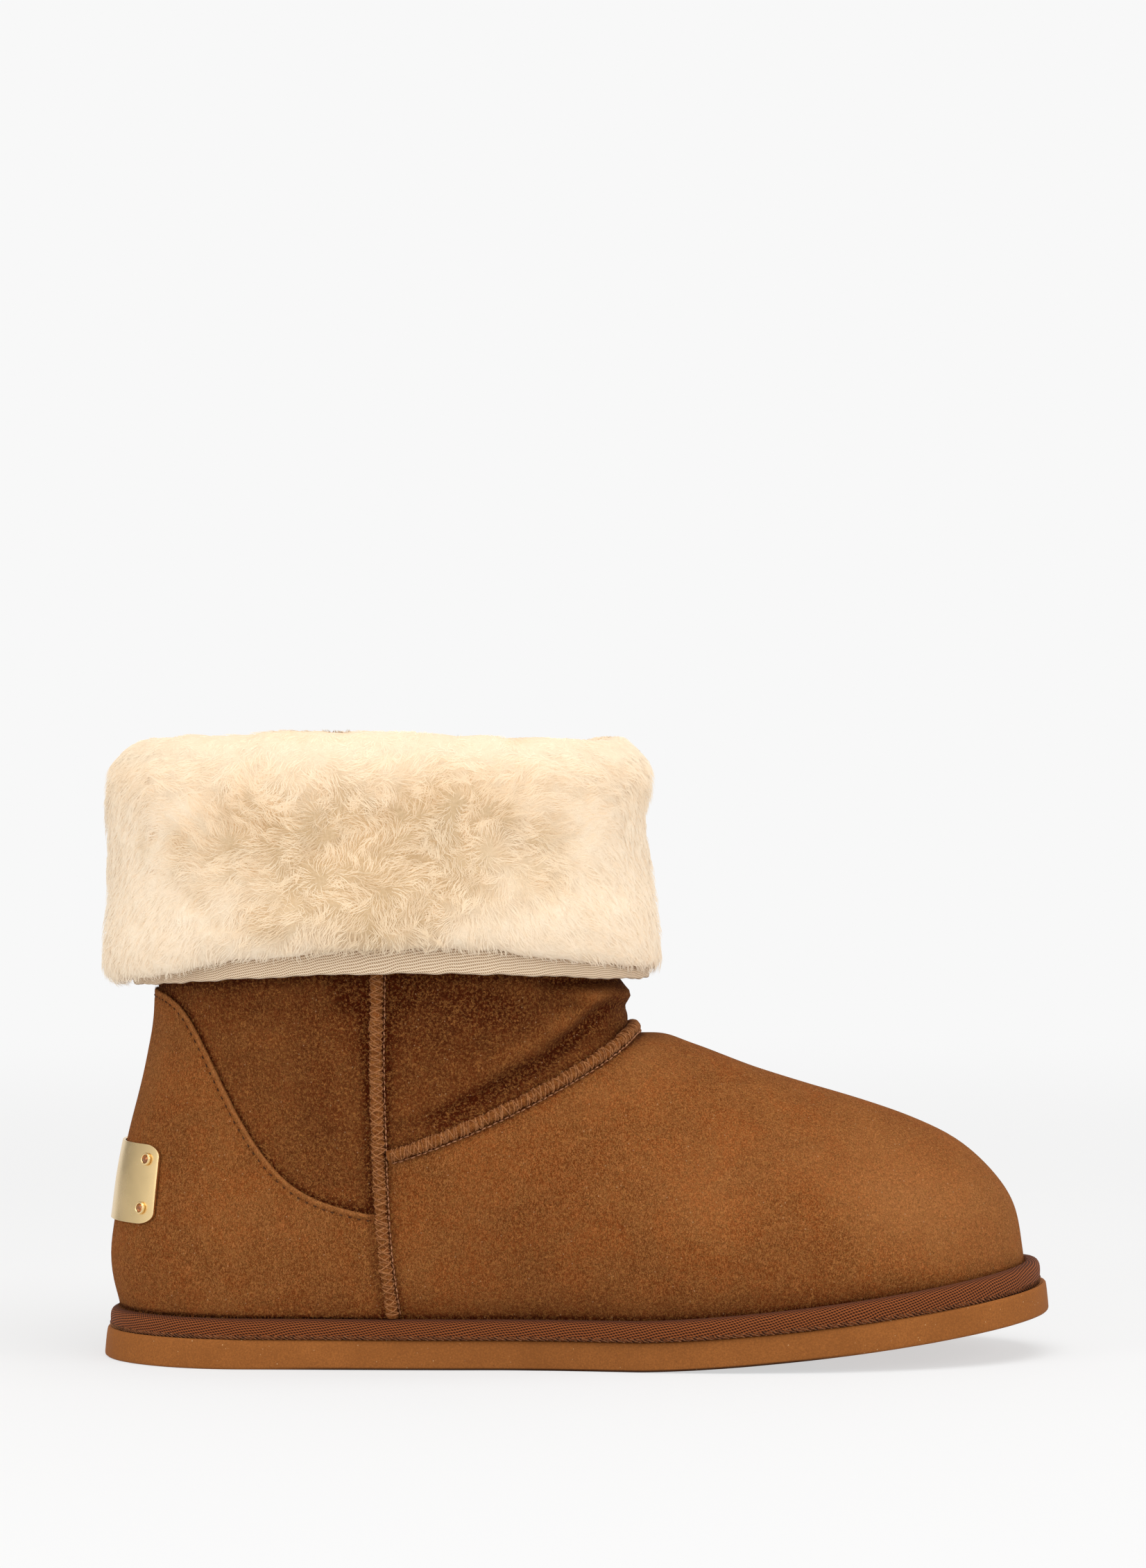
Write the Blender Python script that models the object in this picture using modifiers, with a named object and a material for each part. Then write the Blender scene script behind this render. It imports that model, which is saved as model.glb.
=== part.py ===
"""A sheepskin ankle boot with its shaft turned down into a wool cuff, for a right foot.

Run it with: blender --background --python part.py

Sizes in the tables are millimetres, in the last's own frame: x runs forwards from the back end
of the outsole, y runs to the inner (big toe) side, z runs up from the floor.
The finished boot hangs on one empty that puts the middle of its base at the origin.
"""

import math

import bmesh
import bpy
import numpy as np
from mathutils import Vector

MM = 0.001
GAP = 0.3

# Outsole: one sheet of foamed rubber that bends up at the toe.
SOLE_LENGTH = 271.0
SOLE_THICKNESS = 8.4
SOLE_EDGE_ROUND = 0.8
SOLE_FLARE = 0.9
TOE_SPRING = 12.4
SPRING_START = 152.0
SPRING_POWER = 1.4
GROOVE_WIDTH = 3.0
GROOVE_DEPTH = 1.3
GROOVE_MARGIN = 7.0
HEEL_GROOVES = (22.0, 34.0, 46.0, 58.0)
BALL_GROOVES = (150.0, 164.0, 178.0, 192.0, 206.0, 220.0)

# Upper: suede with its wool on the inside, one wall.
WALL = 9.0
INSOLE_THICKNESS = 6.0
INSOLE_PLAY = 0.9
INSOLE_EDGE = 2.5

# Tape that binds the upper to the sole.
TAPE_TOP = 5.2
TAPE_TOE_RISE = 1.4
TAPE_TOE_PROUD = 1.0
TAPE_THICKNESS = 3.6

# Overlays and seams.
COUNTER_THICKNESS = 1.1
COUNTER_REACH, COUNTER_LEVELS = 16, (1, 21)
COUNTER_OUTLINE_POINTS = 24
OVER_TAPE = 0.9
SEAM_RADIUS = 2.0
SIDE_SEAM_TOP = 118.0
PLATE_THICKNESS = 0.8
PLATE_CORNER, PLATE_CORNER_STEPS = 4.5, 6
PLATE_REACH, PLATE_LEVELS = 10, (6, 14)
BEZEL_RADIUS = 1.8
BEZEL_HEIGHT = 0.9
BEZEL_FLOOR = 0.3
STONE_RADIUS, STONE_TABLE_RADIUS, STONE_DEPTH = 1.15, 0.7, 0.45
STONE_PLAY = 0.15
STONE_SIDES = 12

# Cuff: the turned-down top of the shaft, wool outwards.
SHAFT_TOP = 166.0
BINDING_THICKNESS = 2.0
BINDING_ROUND = 0.6
CUFF_BACK_BULGE = 2.0
EDGE_LIFT = 2.6

AROUND = 48

# The last, one row for each section from the sole up to the top of the shaft. Each section is a
# closed outline that leans up towards the toe or instep: its back and front points, its half
# widths at heel, waist and ball (out is the little toe side), the lengths over which its ends
# round off, and how far its front end swings to the inner side.
LAST_COLUMNS = (
    "x_back", "z_back", "x_front", "z_front", "heel", "waist_out", "waist_in",
    "ball_out", "ball_in", "back_len", "front_len", "toe_in",
)
LAST = (
    (5.6, 7.4, 263.4, 19.3, 31.6, 34.0, 30.0, 42.6, 42.0, 40.0, 74.0, 6.0),
    (5.4, 14.4, 263.8, 26.3, 32.2, 35.0, 31.0, 43.2, 42.6, 40.0, 76.0, 6.0),
    (3.8, 21.0, 263.2, 31.6, 33.4, 38.2, 35.2, 45.2, 44.6, 41.0, 80.0, 6.0),
    (2.9, 30.0, 261.6, 40.6, 34.2, 40.0, 38.4, 45.8, 45.2, 43.0, 90.0, 6.0),
    (4.2, 40.0, 256.4, 50.2, 34.2, 41.2, 40.4, 45.2, 44.8, 45.0, 106.0, 5.6),
    (5.5, 50.0, 242.0, 62.8, 33.8, 41.8, 41.2, 43.4, 43.0, 47.0, 124.0, 5.0),
    (7.3, 60.0, 214.8, 73.5, 33.6, 42.2, 41.8, 41.8, 41.4, 49.0, 126.0, 4.0),
    (9.7, 70.0, 184.6, 83.2, 34.6, 42.8, 42.6, 41.4, 41.2, 52.0, 118.0, 2.8),
    (12.2, 80.0, 162.8, 91.0, 37.0, 43.6, 43.6, 42.2, 42.2, 56.0, 100.0, 1.4),
    (14.2, 90.0, 151.4, 93.0, 40.0, 44.4, 44.4, 43.4, 43.4, 61.0, 80.0, 0.5),
    (15.7, 104.0, 149.4, 103.0, 43.4, 45.0, 45.0, 44.6, 44.6, 66.0, 68.0, 0.0),
    (15.7, 134.0, 145.6, 135.0, 45.0, 45.2, 45.2, 45.0, 45.0, 66.6, 66.6, 0.0),
    (15.3, 166.0, 145.2, 166.0, 45.4, 45.4, 45.4, 45.4, 45.4, 66.5, 66.5, 0.0),
)
HEEL_AT, WAIST_AT, BALL_AT = 0.12, 0.40, 0.68
TOE_ROUNDNESS = 2.15
TAPE_LEVEL = 1.0
TOP_LEVEL = len(LAST) - 1.0
LEVELS = (*np.arange(0, 10.1, 0.5), 11.0, TOP_LEVEL)

# The outsole's outline, in the same columns as the last.
SOLE_OUTLINE = (0.0, 0.0, SOLE_LENGTH, 0.0, 36.2, 38.2, 34.4, 47.0, 46.6, 42.0, 78.0, 6.4)

# Upper edge of the heel counter, from the back of the ankle down to the side seam.
COUNTER_EDGE = (
    # x, z
    (-12.0, 106.4), (12.0, 105.6), (21.5, 103.0), (27.2, 97.0), (34.1, 83.9),
    (43.2, 67.0), (57.0, 51.0), (76.6, 44.2),
)
# Side seam, and the instep seam that leaves it and rises as a parabola.
SIDE_SEAM = (
    # z, x
    (9.0, 84.2), (21.0, 82.7), (30.0, 81.5), (40.0, 80.6), (56.0, 79.9), (90.0, 79.5), (130.0, 80.0),
)
INSTEP_START_X = 81.9
INSTEP_START_Z = 60.2
INSTEP_SLOPE = 0.31
INSTEP_CURVE = 0.0024
INSTEP_CLEAR = 3.2
INSTEP_HOLLOW = 0.7
INSTEP_POINTS, SIDE_SEAM_POINTS = 31, 17

# Heel plate: its outline as seen from the side, and the places of its stones.
PLATE_LOW_Z, PLATE_HIGH_Z = 39.4, 61.6
PLATE_REACH_LOW, PLATE_REACH_HIGH = 16.1, 18.3
STONES = (
    # x, z
    (12.2, 44.2), (13.9, 57.9),
)

# Section of the cuff, from the inner foot of its outer limb up, over the top of the shaft, and
# down the outside: distance out from the shaft's surface, height, and how much of the extra
# depth at the back that point takes.
CUFF_INNER = 4.7
CUFF_SECTION = (
    # out, z, bulge
    (CUFF_INNER, 115.0, 0.0), (CUFF_INNER, 158.0, 0.0), (3.6, 164.8, 0.0),
    (1.4, SHAFT_TOP + GAP, 0.0), (-WALL, SHAFT_TOP + GAP, 0.0), (-WALL + 0.2, 171.0, 0.0),
    (-WALL + 2.6, 176.0, 0.0), (-3.0, 179.0, 0.1), (2.4, 179.6, 0.3), (7.4, 176.6, 0.5),
    (10.6, 171.4, 0.5), (12.6, 164.5, 0.6), (12.8, 156.0, 0.8), (12.1, 144.0, 0.8),
    (13.7, 130.0, 0.7), (14.8, 120.5, 1.0), (13.4, 113.8, 1.0), (10.6, 111.4, 0.8),
    (8.4, 112.4, 0.3), (7.4, 115.0, 0.0),
)
CUFF_TOP = max(z for _, z, _ in CUFF_SECTION)
RIM_DROP, RIM_START = 2.2, SHAFT_TOP + GAP
BINDING_LOW = 109.4
BINDING_HIGH = CUFF_SECTION[0][1] - GAP

COLOURS = {
    # red, green, blue, roughness, metallic
    "suede": (0.33, 0.155, 0.055, 0.95, 0.0),
    "wool": (0.86, 0.70, 0.50, 1.0, 0.0),
    "brown_tape": (0.26, 0.105, 0.045, 0.85, 0.0),
    "beige_tape": (0.62, 0.47, 0.33, 0.85, 0.0),
    "foam_rubber": (0.40, 0.18, 0.055, 0.7, 0.0),
    "gilt": (0.80, 0.62, 0.33, 0.25, 1.0),
    "amber": (0.62, 0.20, 0.03, 0.05, 0.0),
}


def clear_scene():
    for old in list(bpy.data.objects):
        bpy.data.objects.remove(old)


def make_material(name):
    red, green, blue, roughness, metallic = COLOURS[name]
    material = bpy.data.materials.new(name)
    material.use_nodes = True
    shader = material.node_tree.nodes["Principled BSDF"]
    shader.inputs["Base Color"].default_value = (red, green, blue, 1)
    shader.inputs["Roughness"].default_value = roughness
    shader.inputs["Metallic"].default_value = metallic
    return material


def cubic(values, at):
    """A natural cubic spline through the values at 0, 1, 2 and so on, read at the places in at."""
    heights = np.asarray(values, float)
    count = len(heights)
    matrix, bend = np.eye(count), np.zeros(count)
    for i in range(1, count - 1):
        matrix[i, i - 1 : i + 2] = (1, 4, 1)
        bend[i] = 6 * (heights[i - 1] - 2 * heights[i] + heights[i + 1])
    bend = np.linalg.solve(matrix, bend)
    at = np.clip(np.asarray(at, float), 0, count - 1)
    i = np.minimum(at.astype(int), count - 2)
    far = at - i
    near = 1 - far
    curved = (near**3 - near) * bend[i] + (far**3 - far) * bend[i + 1]
    return near * heights[i] + far * heights[i + 1] + curved / 6


def smooth_step(t):
    t = np.clip(t, 0, 1)
    return t * t * (3 - 2 * t)


def toe_lift(x):
    """How far the sole has bent up from the floor at x."""
    share = np.maximum(0, np.asarray(x, float) - SPRING_START) / (SOLE_LENGTH - SPRING_START)
    return TOE_SPRING * share**SPRING_POWER


def end_round(inset, length, power):
    """1 away from an end, falling to 0 at it as a quarter of a superellipse that long."""
    rest = 1 - np.clip(inset / length, 0, 1)
    return (1 - rest**power) ** (1 / power)


def outline_xyz(phi, row):
    """Points of a section at the angles phi: 0 is its front end, a quarter turn the inner side."""
    half = (row["x_front"] - row["x_back"]) / 2
    along = (1 + np.cos(phi)) / 2
    x = row["x_back"] + 2 * half * along
    inner = np.sin(phi) >= 0
    waist = np.where(inner, row["waist_in"], row["waist_out"])
    ball = np.where(inner, row["ball_in"], row["ball_out"])
    to_waist = smooth_step((along - HEEL_AT) / (WAIST_AT - HEEL_AT))
    to_ball = smooth_step((along - WAIST_AT) / (BALL_AT - WAIST_AT))
    body = row["heel"] + (waist - row["heel"]) * to_waist + (ball - waist) * to_ball
    ends = end_round(x - row["x_back"], row["back_len"], 2)
    ends = ends * end_round(row["x_front"] - x, row["front_len"], TOE_ROUNDNESS)
    y = np.where(inner, 1, -1) * body * ends + row["toe_in"] * along**3
    lean = row["z_front"] - row["z_back"] - toe_lift(row["x_front"])
    z = row["z_back"] + toe_lift(x) + lean * along**2
    return np.stack(np.broadcast_arrays(x, y, z), -1)


def last_row(level):
    """The last's section at a level, splined between the rows of its table."""
    return {name: cubic(values, level) for name, values in zip(LAST_COLUMNS, zip(*LAST))}


def last_xyz(phi, level):
    """Points of the upper's outer surface."""
    return outline_xyz(phi, last_row(level))


def level_near(z):
    """The level whose back point is at that height."""
    return np.interp(z, [row[1] for row in LAST], np.arange(len(LAST)))


def last_normal(phi, level):
    step = 1e-3
    level = np.clip(level, step, TOP_LEVEL - step)
    round_it = last_xyz(phi + step, level) - last_xyz(phi - step, level)
    up_it = last_xyz(phi, level + step) - last_xyz(phi, level - step)
    normal = np.cross(round_it, up_it)
    return normal / np.linalg.norm(normal, axis=-1, keepdims=True)


def on_last(phi, level, out):
    """A point that lies out from the last's surface along its normal."""
    phi, level = np.broadcast_arrays(np.asarray(phi, float), np.asarray(level, float))
    return last_xyz(phi, level) + last_normal(phi, level) * out


def level_where(phi, wanted):
    """The level, for each angle, at which wanted(x, z) turns from under to over zero."""
    low, high = np.zeros_like(phi), np.full_like(phi, TOP_LEVEL)
    for _ in range(40):
        middle = (low + high) / 2
        point = last_xyz(phi, middle)
        over = wanted(point[..., 0], point[..., 2]) > 0
        low, high = np.where(over, low, middle), np.where(over, middle, high)
    return (low + high) / 2


def angle_at(x, level, side):
    """The angle at which a section passes x, on the inner (1) or outer (-1) side."""
    row = last_row(level)
    middle, half = (row["x_front"] + row["x_back"]) / 2, (row["x_front"] - row["x_back"]) / 2
    return side * np.arccos(np.clip((x - middle) / half, -1, 1))


def place_at(x, z, side, out):
    """The angle and level of the point, that far out from the last, that is at x and z."""
    x, z = np.atleast_1d(x).astype(float), np.atleast_1d(z).astype(float)
    aim_x, aim_z = x.copy(), z.copy()
    level = level_near(z)
    for _ in range(8):
        phi = angle_at(aim_x, level, side)
        level = level_where(phi, lambda _, height: height - aim_z)
        point = on_last(phi, level, out)
        aim_x += x - point[:, 0]
        aim_z += z - point[:, 2]
    return phi, level


def flat_outward(phi, row, out):
    """An outline's points moved straight out, level with the floor."""
    step = 1e-3
    tangent = outline_xyz(phi + step, row) - outline_xyz(phi - step, row)
    normal = np.stack([tangent[..., 1], -tangent[..., 0]], -1)
    normal /= np.linalg.norm(normal, axis=-1, keepdims=True)
    points = outline_xyz(phi, row)
    points[..., :2] += normal * np.broadcast_to(out, phi.shape)[..., None]
    return points


def strip_faces(rows, columns, close_rows, close_columns):
    """Quads of a grid whose points are numbered along each row, with either way closed."""
    faces = []
    for i in range(rows if close_rows else rows - 1):
        for j in range(columns if close_columns else columns - 1):
            k, m = (i + 1) % rows, (j + 1) % columns
            corners = (i * columns + j, i * columns + m, k * columns + m, k * columns + j)
            faces.append(corners)
    return faces


def across_faces(first, count, upwards):
    """Quads that join the two sides of a closed outline, front end to back end."""
    half = count // 2
    faces = []
    for i in range(half):
        inner, outer = (i, i + 1), (-i - 1, -i)
        corners = [inner[0], inner[1], outer[0] % count, outer[1] % count]
        corners = list(dict.fromkeys(corners))
        faces.append([first + c for c in (corners if upwards else corners[::-1])])
    return faces


class Boot:
    """The boot's collection, its carrier and its materials."""

    def __init__(self):
        scene = bpy.context.scene
        self.parts = bpy.data.collections.new("ankle_boot")
        self.cutters = bpy.data.collections.new("cutters")
        scene.collection.children.link(self.parts)
        scene.collection.children.link(self.cutters)
        self.carrier = bpy.data.objects.new("boot", None)
        self.parts.objects.link(self.carrier)
        self.materials = {name: make_material(name) for name in COLOURS}

    def add(self, name, data, material):
        data.materials.append(self.materials[material])
        part = bpy.data.objects.new(name, data)
        part.parent = self.carrier
        self.parts.objects.link(part)
        return part

    def add_mesh(self, name, points, faces, material):
        mesh = bpy.data.meshes.new(name)
        mesh.from_pydata((np.asarray(points).reshape(-1, 3) * MM).tolist(), [], faces)
        part = self.add(name, mesh, material)
        mesh.shade_smooth()
        mesh.set_sharp_from_angle(angle=math.radians(40))
        return part

    def add_prism(self, name, outline, reach=(-SOLE_LENGTH / 3, SOLE_LENGTH / 3)):
        """A cutter: an outline seen from the side, carried across the boot over that reach."""
        mesh = bpy.data.meshes.new(name)
        shape = bmesh.new()
        corners = [shape.verts.new((x * MM, reach[0] * MM, z * MM)) for x, z in outline]
        face = shape.faces.new(corners)
        grown = bmesh.ops.extrude_face_region(shape, geom=[face])["geom"]
        moved = [v for v in grown if isinstance(v, bmesh.types.BMVert)]
        bmesh.ops.translate(shape, verts=moved, vec=(0, (reach[1] - reach[0]) * MM, 0))
        bmesh.ops.recalc_face_normals(shape, faces=shape.faces)
        shape.to_mesh(mesh)
        shape.free()
        return self.add_cutter(name, mesh)

    def add_cutter(self, name, mesh):
        cutter = bpy.data.objects.new(name, mesh)
        cutter.parent = self.carrier
        cutter.hide_render = True
        cutter.display_type = "WIRE"
        self.cutters.objects.link(cutter)
        return cutter


def thicken(part, thickness, offset):
    wall = part.modifiers.new("wall", "SOLIDIFY")
    wall.thickness = thickness * MM
    wall.offset = offset


def cut(part, cutter, operation):
    boolean = part.modifiers.new(cutter.name, "BOOLEAN")
    boolean.operation = operation
    boolean.object = cutter


def circle(count):
    return np.arange(count) * 2 * math.pi / count


def sole_sides(row):
    """The outer and the inner side of the sole's outline, each as its x and its y, heel first."""
    phi = np.linspace(math.pi, 0, AROUND)
    sides = [outline_xyz(phi * way, row) for way in (-1, 1)]
    return [(side[:, 0], side[:, 1]) for side in sides]


def make_outsole(boot):
    """Three rings up the side wall, closed across at the bottom and the top."""
    phi = circle(AROUND)
    row = dict(zip(LAST_COLUMNS, SOLE_OUTLINE))
    rings = []
    for out, z in (
        (-SOLE_EDGE_ROUND, 0),
        (0, SOLE_EDGE_ROUND),
        (-SOLE_FLARE, SOLE_THICKNESS),
    ):
        ring = flat_outward(phi, row, out)
        ring[:, 2] = toe_lift(ring[:, 0]) + z
        rings.append(ring)
    faces = strip_faces(len(rings), AROUND, False, True)
    faces += across_faces(0, AROUND, False)
    faces += across_faces((len(rings) - 1) * AROUND, AROUND, True)
    sole = boot.add_mesh("outsole", rings, faces, "foam_rubber")
    for number, x in enumerate(HEEL_GROOVES + BALL_GROOVES, 1):
        low, high = x - GROOVE_WIDTH / 2, x + GROOVE_WIDTH / 2
        top = toe_lift(x) + GROOVE_DEPTH
        block = ((low, -GROOVE_DEPTH), (high, -GROOVE_DEPTH), (high, top), (low, top))
        ends = [float(np.interp(x, *across)) for across in sole_sides(row)]
        reach = (ends[0] + GROOVE_MARGIN, ends[1] - GROOVE_MARGIN)
        cut(sole, boot.add_prism(f"groove_{number}", block, reach), "DIFFERENCE")


def make_tape(boot):
    """A folded tape round the foot of the upper, a little deeper and thicker round the toe."""
    phi = circle(AROUND)
    base, top = last_row(0.0), last_row(TAPE_LEVEL)
    section = (
        # share of the thickness, share of the height
        (0.0, 0.0), (0.92, 0.0), (1.0, 0.35), (0.9, 0.75), (0.5, 0.98), (0.0, 1.0),
    )
    rings = []
    for out, share in section:
        row = {name: base[name] + (top[name] - base[name]) * share for name in base}
        toe = ((1 + np.cos(phi)) / 2) ** 4
        thick = TAPE_THICKNESS + TAPE_TOE_PROUD * toe
        ring = flat_outward(phi, row, GAP + thick * out)
        height = TAPE_TOP + TAPE_TOE_RISE * toe
        ring[:, 2] = toe_lift(ring[:, 0]) + SOLE_THICKNESS + GAP + height * share
        rings.append(ring)
    faces = strip_faces(len(rings), AROUND, True, True)
    boot.add_mesh("sole_tape", rings, faces, "brown_tape")


def make_upper(boot):
    """Foot and shaft in one hollow wall, open at the collar and cut level with the sole."""
    grid = last_xyz(circle(AROUND)[None, :], np.array(LEVELS)[:, None])
    faces = strip_faces(len(LEVELS), AROUND, False, True)
    upper = boot.add_mesh("upper", grid, faces, "suede")
    thicken(upper, WALL, -1)
    along = np.linspace(-WALL, SOLE_LENGTH + WALL, 40)
    sole_top = list(zip(along, toe_lift(along) + SOLE_THICKNESS + GAP))
    sole_top += [(along[-1], -SOLE_THICKNESS), (along[0], -SOLE_THICKNESS)]
    cut(upper, boot.add_prism("sole_top", sole_top), "DIFFERENCE")


def make_insole(boot):
    """A wool sock that fills the foot of the upper, level across and bent up at the toe."""
    phi = circle(AROUND)
    rings = []
    for inset, z in ((0, 0), (0, 0.75 * INSOLE_THICKNESS), (INSOLE_EDGE, INSOLE_THICKNESS)):
        ring = flat_outward(phi, last_row(0.4), -(WALL + INSOLE_PLAY + inset))
        ring[:, 2] = toe_lift(ring[:, 0]) + SOLE_THICKNESS + GAP + z
        rings.append(ring)
    faces = strip_faces(len(rings), AROUND, False, True)
    faces += across_faces(0, AROUND, False)
    faces += across_faces((len(rings) - 1) * AROUND, AROUND, True)
    boot.add_mesh("insole", rings, faces, "wool")


def heel_patch(boot, name, reach, levels, out, thickness, material):
    """A sheet round the heel, on the same angles and levels as the upper, that far out from it."""
    middle = AROUND // 2
    phi = circle(AROUND)[middle - reach : middle + reach + 1]
    level = np.array(LEVELS[levels[0] : levels[1] + 1])
    shape = (len(level), len(phi))
    grid = on_last(phi[None, :], level[:, None], out)
    patch = boot.add_mesh(name, grid, strip_faces(*shape, False, False), material)
    thicken(patch, thickness, 1)
    return patch


def make_counter(boot):
    """The heel counter: a second layer of suede, cut to its outline as seen from the side."""
    counter = heel_patch(
        boot, "heel_counter", COUNTER_REACH, COUNTER_LEVELS, GAP, COUNTER_THICKNESS, "suede"
    )
    xs, zs = zip(*COUNTER_EDGE)
    at = np.linspace(0, len(COUNTER_EDGE) - 1, COUNTER_OUTLINE_POINTS)
    outline = list(zip(cubic(xs, at), cubic(zs, at)))
    low = SOLE_THICKNESS + TAPE_TOP + OVER_TAPE
    outline += [(xs[-1], low), (xs[0], low)]
    cutter = boot.add_prism("counter_outline", outline)
    cut(counter, cutter, "INTERSECT")


def rounded_corners(corners, radius, steps):
    """A polygon's corners, each replaced by a short curve that starts and ends on its sides."""
    rounded = []
    for i, corner in enumerate(corners):
        here = np.array(corner)
        ends = []
        for other in (corners[i - 1], corners[(i + 1) % len(corners)]):
            way = np.array(other) - here
            ends.append(here + way / np.linalg.norm(way) * radius)
        for t in np.linspace(0, 1, steps):
            rounded.append(tuple((1 - t) ** 2 * ends[0] + 2 * t * (1 - t) * here + t * t * ends[1]))
    return rounded


def make_plate(boot):
    """A thin gilt plate bent round the heel, with four round corners."""
    out = COUNTER_THICKNESS + 2 * GAP
    plate = heel_patch(
        boot, "heel_plate", PLATE_REACH, PLATE_LEVELS, out, PLATE_THICKNESS, "gilt"
    )
    far = -3 * PLATE_REACH_LOW
    outline = rounded_corners(
        (
            (PLATE_REACH_LOW, PLATE_LOW_Z),
            (PLATE_REACH_HIGH, PLATE_HIGH_Z),
            (far, PLATE_HIGH_Z),
            (far, PLATE_LOW_Z),
        ),
        PLATE_CORNER,
        PLATE_CORNER_STEPS,
    )
    cut(plate, boot.add_prism("plate_outline", outline), "INTERSECT")


def make_bezel(boot, name):
    """A ring with a floor: its section turned about Z."""
    rim = STONE_RADIUS + STONE_PLAY
    profile = (
        (0, BEZEL_FLOOR), (rim, BEZEL_FLOOR), (rim, BEZEL_HEIGHT),
        (BEZEL_RADIUS - STONE_PLAY, BEZEL_HEIGHT), (BEZEL_RADIUS, 0.6 * BEZEL_HEIGHT),
        (BEZEL_RADIUS, 0), (0, 0),
    )
    mesh = bpy.data.meshes.new(name)
    points = [(r * MM, 0, h * MM) for r, h in profile]
    mesh.from_pydata(points, [(i, i + 1) for i in range(len(points) - 1)], [])
    bezel = boot.add(name, mesh, "gilt")
    turned = bezel.modifiers.new("turned", "SCREW")
    turned.steps = turned.render_steps = STONE_SIDES
    turned.use_merge_vertices = True
    turned.merge_threshold = 0.00001
    return bezel


def make_stone(boot, name):
    """A flat-topped stone that narrows upwards."""
    shape = bmesh.new()
    bmesh.ops.create_cone(
        shape, cap_ends=True, segments=STONE_SIDES, radius1=STONE_RADIUS * MM,
        radius2=STONE_TABLE_RADIUS * MM, depth=STONE_DEPTH * MM,
    )
    mesh = bpy.data.meshes.new(name)
    shape.to_mesh(mesh)
    shape.free()
    return boot.add(name, mesh, "amber")


def make_stones(boot):
    """Bezels and stones, one pair near each corner of the heel plate."""
    out = COUNTER_THICKNESS + 3 * GAP + PLATE_THICKNESS
    places = [(side, x, z) for side in (-1, 1) for x, z in STONES]
    for number, (side, x, z) in enumerate(places, 1):
        phi, level = place_at(x, z, side, out)
        place, normal = on_last(phi, level, out)[0], last_normal(phi, level)[0]
        bezel, stone = make_bezel(boot, f"bezel_{number}"), make_stone(boot, f"stone_{number}")
        for part, height in ((bezel, 0), (stone, BEZEL_FLOOR + STONE_PLAY + STONE_DEPTH / 2)):
            part.rotation_mode = "QUATERNION"
            part.rotation_quaternion = Vector(normal).to_track_quat("Z", "Y")
            part.location = Vector(place + normal * height) * MM


def add_seam(boot, name, points):
    """A raised seam: a round cord along the points."""
    curve = bpy.data.curves.new(name, "CURVE")
    curve.dimensions = "3D"
    curve.bevel_depth = SEAM_RADIUS * MM
    curve.bevel_resolution = 2
    curve.use_fill_caps = True
    line = curve.splines.new("POLY")
    line.points.add(len(points) - 1)
    line.points.foreach_set("co", np.c_[points * MM, np.ones(len(points))].ravel())
    boot.add(name, curve, "suede")


def make_seams(boot):
    """The side seams from tape to cuff, and the instep seam over the foot between them."""
    lift = SEAM_RADIUS + GAP
    zs, xs = zip(*SIDE_SEAM)
    low = SOLE_THICKNESS + TAPE_TOP + OVER_TAPE
    for side, name in ((-1, "side_seam_outer"), (1, "side_seam_inner")):
        z = np.linspace(low, SIDE_SEAM_TOP, SIDE_SEAM_POINTS)
        phi, level = place_at(np.interp(z, zs, xs), z, side, lift)
        add_seam(boot, name, on_last(phi, level, lift))

    def over_seam(x, z):
        reach = x - INSTEP_START_X
        return z - INSTEP_START_Z - INSTEP_SLOPE * reach - INSTEP_CURVE * reach**2

    start, _ = place_at(INSTEP_START_X + INSTEP_CLEAR, INSTEP_START_Z, 1, lift)
    phi = np.linspace(start[0], -start[0], INSTEP_POINTS)
    level = level_where(phi, over_seam)
    hollow = INSTEP_HOLLOW * np.maximum(np.cos(phi), 0) ** 4
    add_seam(boot, "instep_seam", on_last(phi, level, (lift + hollow)[:, None]))


def edge_wave(phi):
    """The cuff's lower edge is higher at the sides of the leg than at its front and back."""
    return -EDGE_LIFT * np.cos(2 * phi)


def round_shaft(phi, out, z, fade):
    """Points that far out from the shaft at that height, with the edge's wave where fade is 1."""
    ring = flat_outward(phi, last_row(float(level_near(z))), out)
    drop = RIM_DROP * smooth_step((z - RIM_START) / (CUFF_TOP - RIM_START)) * np.cos(phi) ** 2
    ring[:, 2] = z + edge_wave(phi) * fade - drop
    return ring


def make_cuff(boot):
    """The turned-down cuff: a hook in section, seated on the top edge of the shaft."""
    phi = circle(AROUND)
    back = -np.cos(phi)
    low = CUFF_SECTION[0][1]
    rings = []
    for out, z, bulge in CUFF_SECTION:
        fade = np.clip(1 - (z - low) / (SHAFT_TOP - low), 0, 1)
        rings.append(round_shaft(phi, out + CUFF_BACK_BULGE * bulge * back, z, fade))
    faces = strip_faces(len(rings), AROUND, True, True)
    boot.add_mesh("cuff", rings, [face[::-1] for face in faces], "wool")


def make_binding(boot):
    """The tape that binds the cuff's lower edge."""
    phi = circle(AROUND)
    inner, thick = CUFF_INNER, BINDING_THICKNESS
    section = (
        # out, z
        (inner, BINDING_HIGH), (inner, BINDING_LOW + BINDING_ROUND),
        (inner + thick / 2, BINDING_LOW), (inner + thick, BINDING_LOW + BINDING_ROUND),
        (inner + thick, BINDING_HIGH),
    )
    rings = [round_shaft(phi, out, z, 1.0) for out, z in section]
    boot.add_mesh(
        "cuff_binding", rings, strip_faces(len(rings), AROUND, True, True), "beige_tape"
    )


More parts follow.
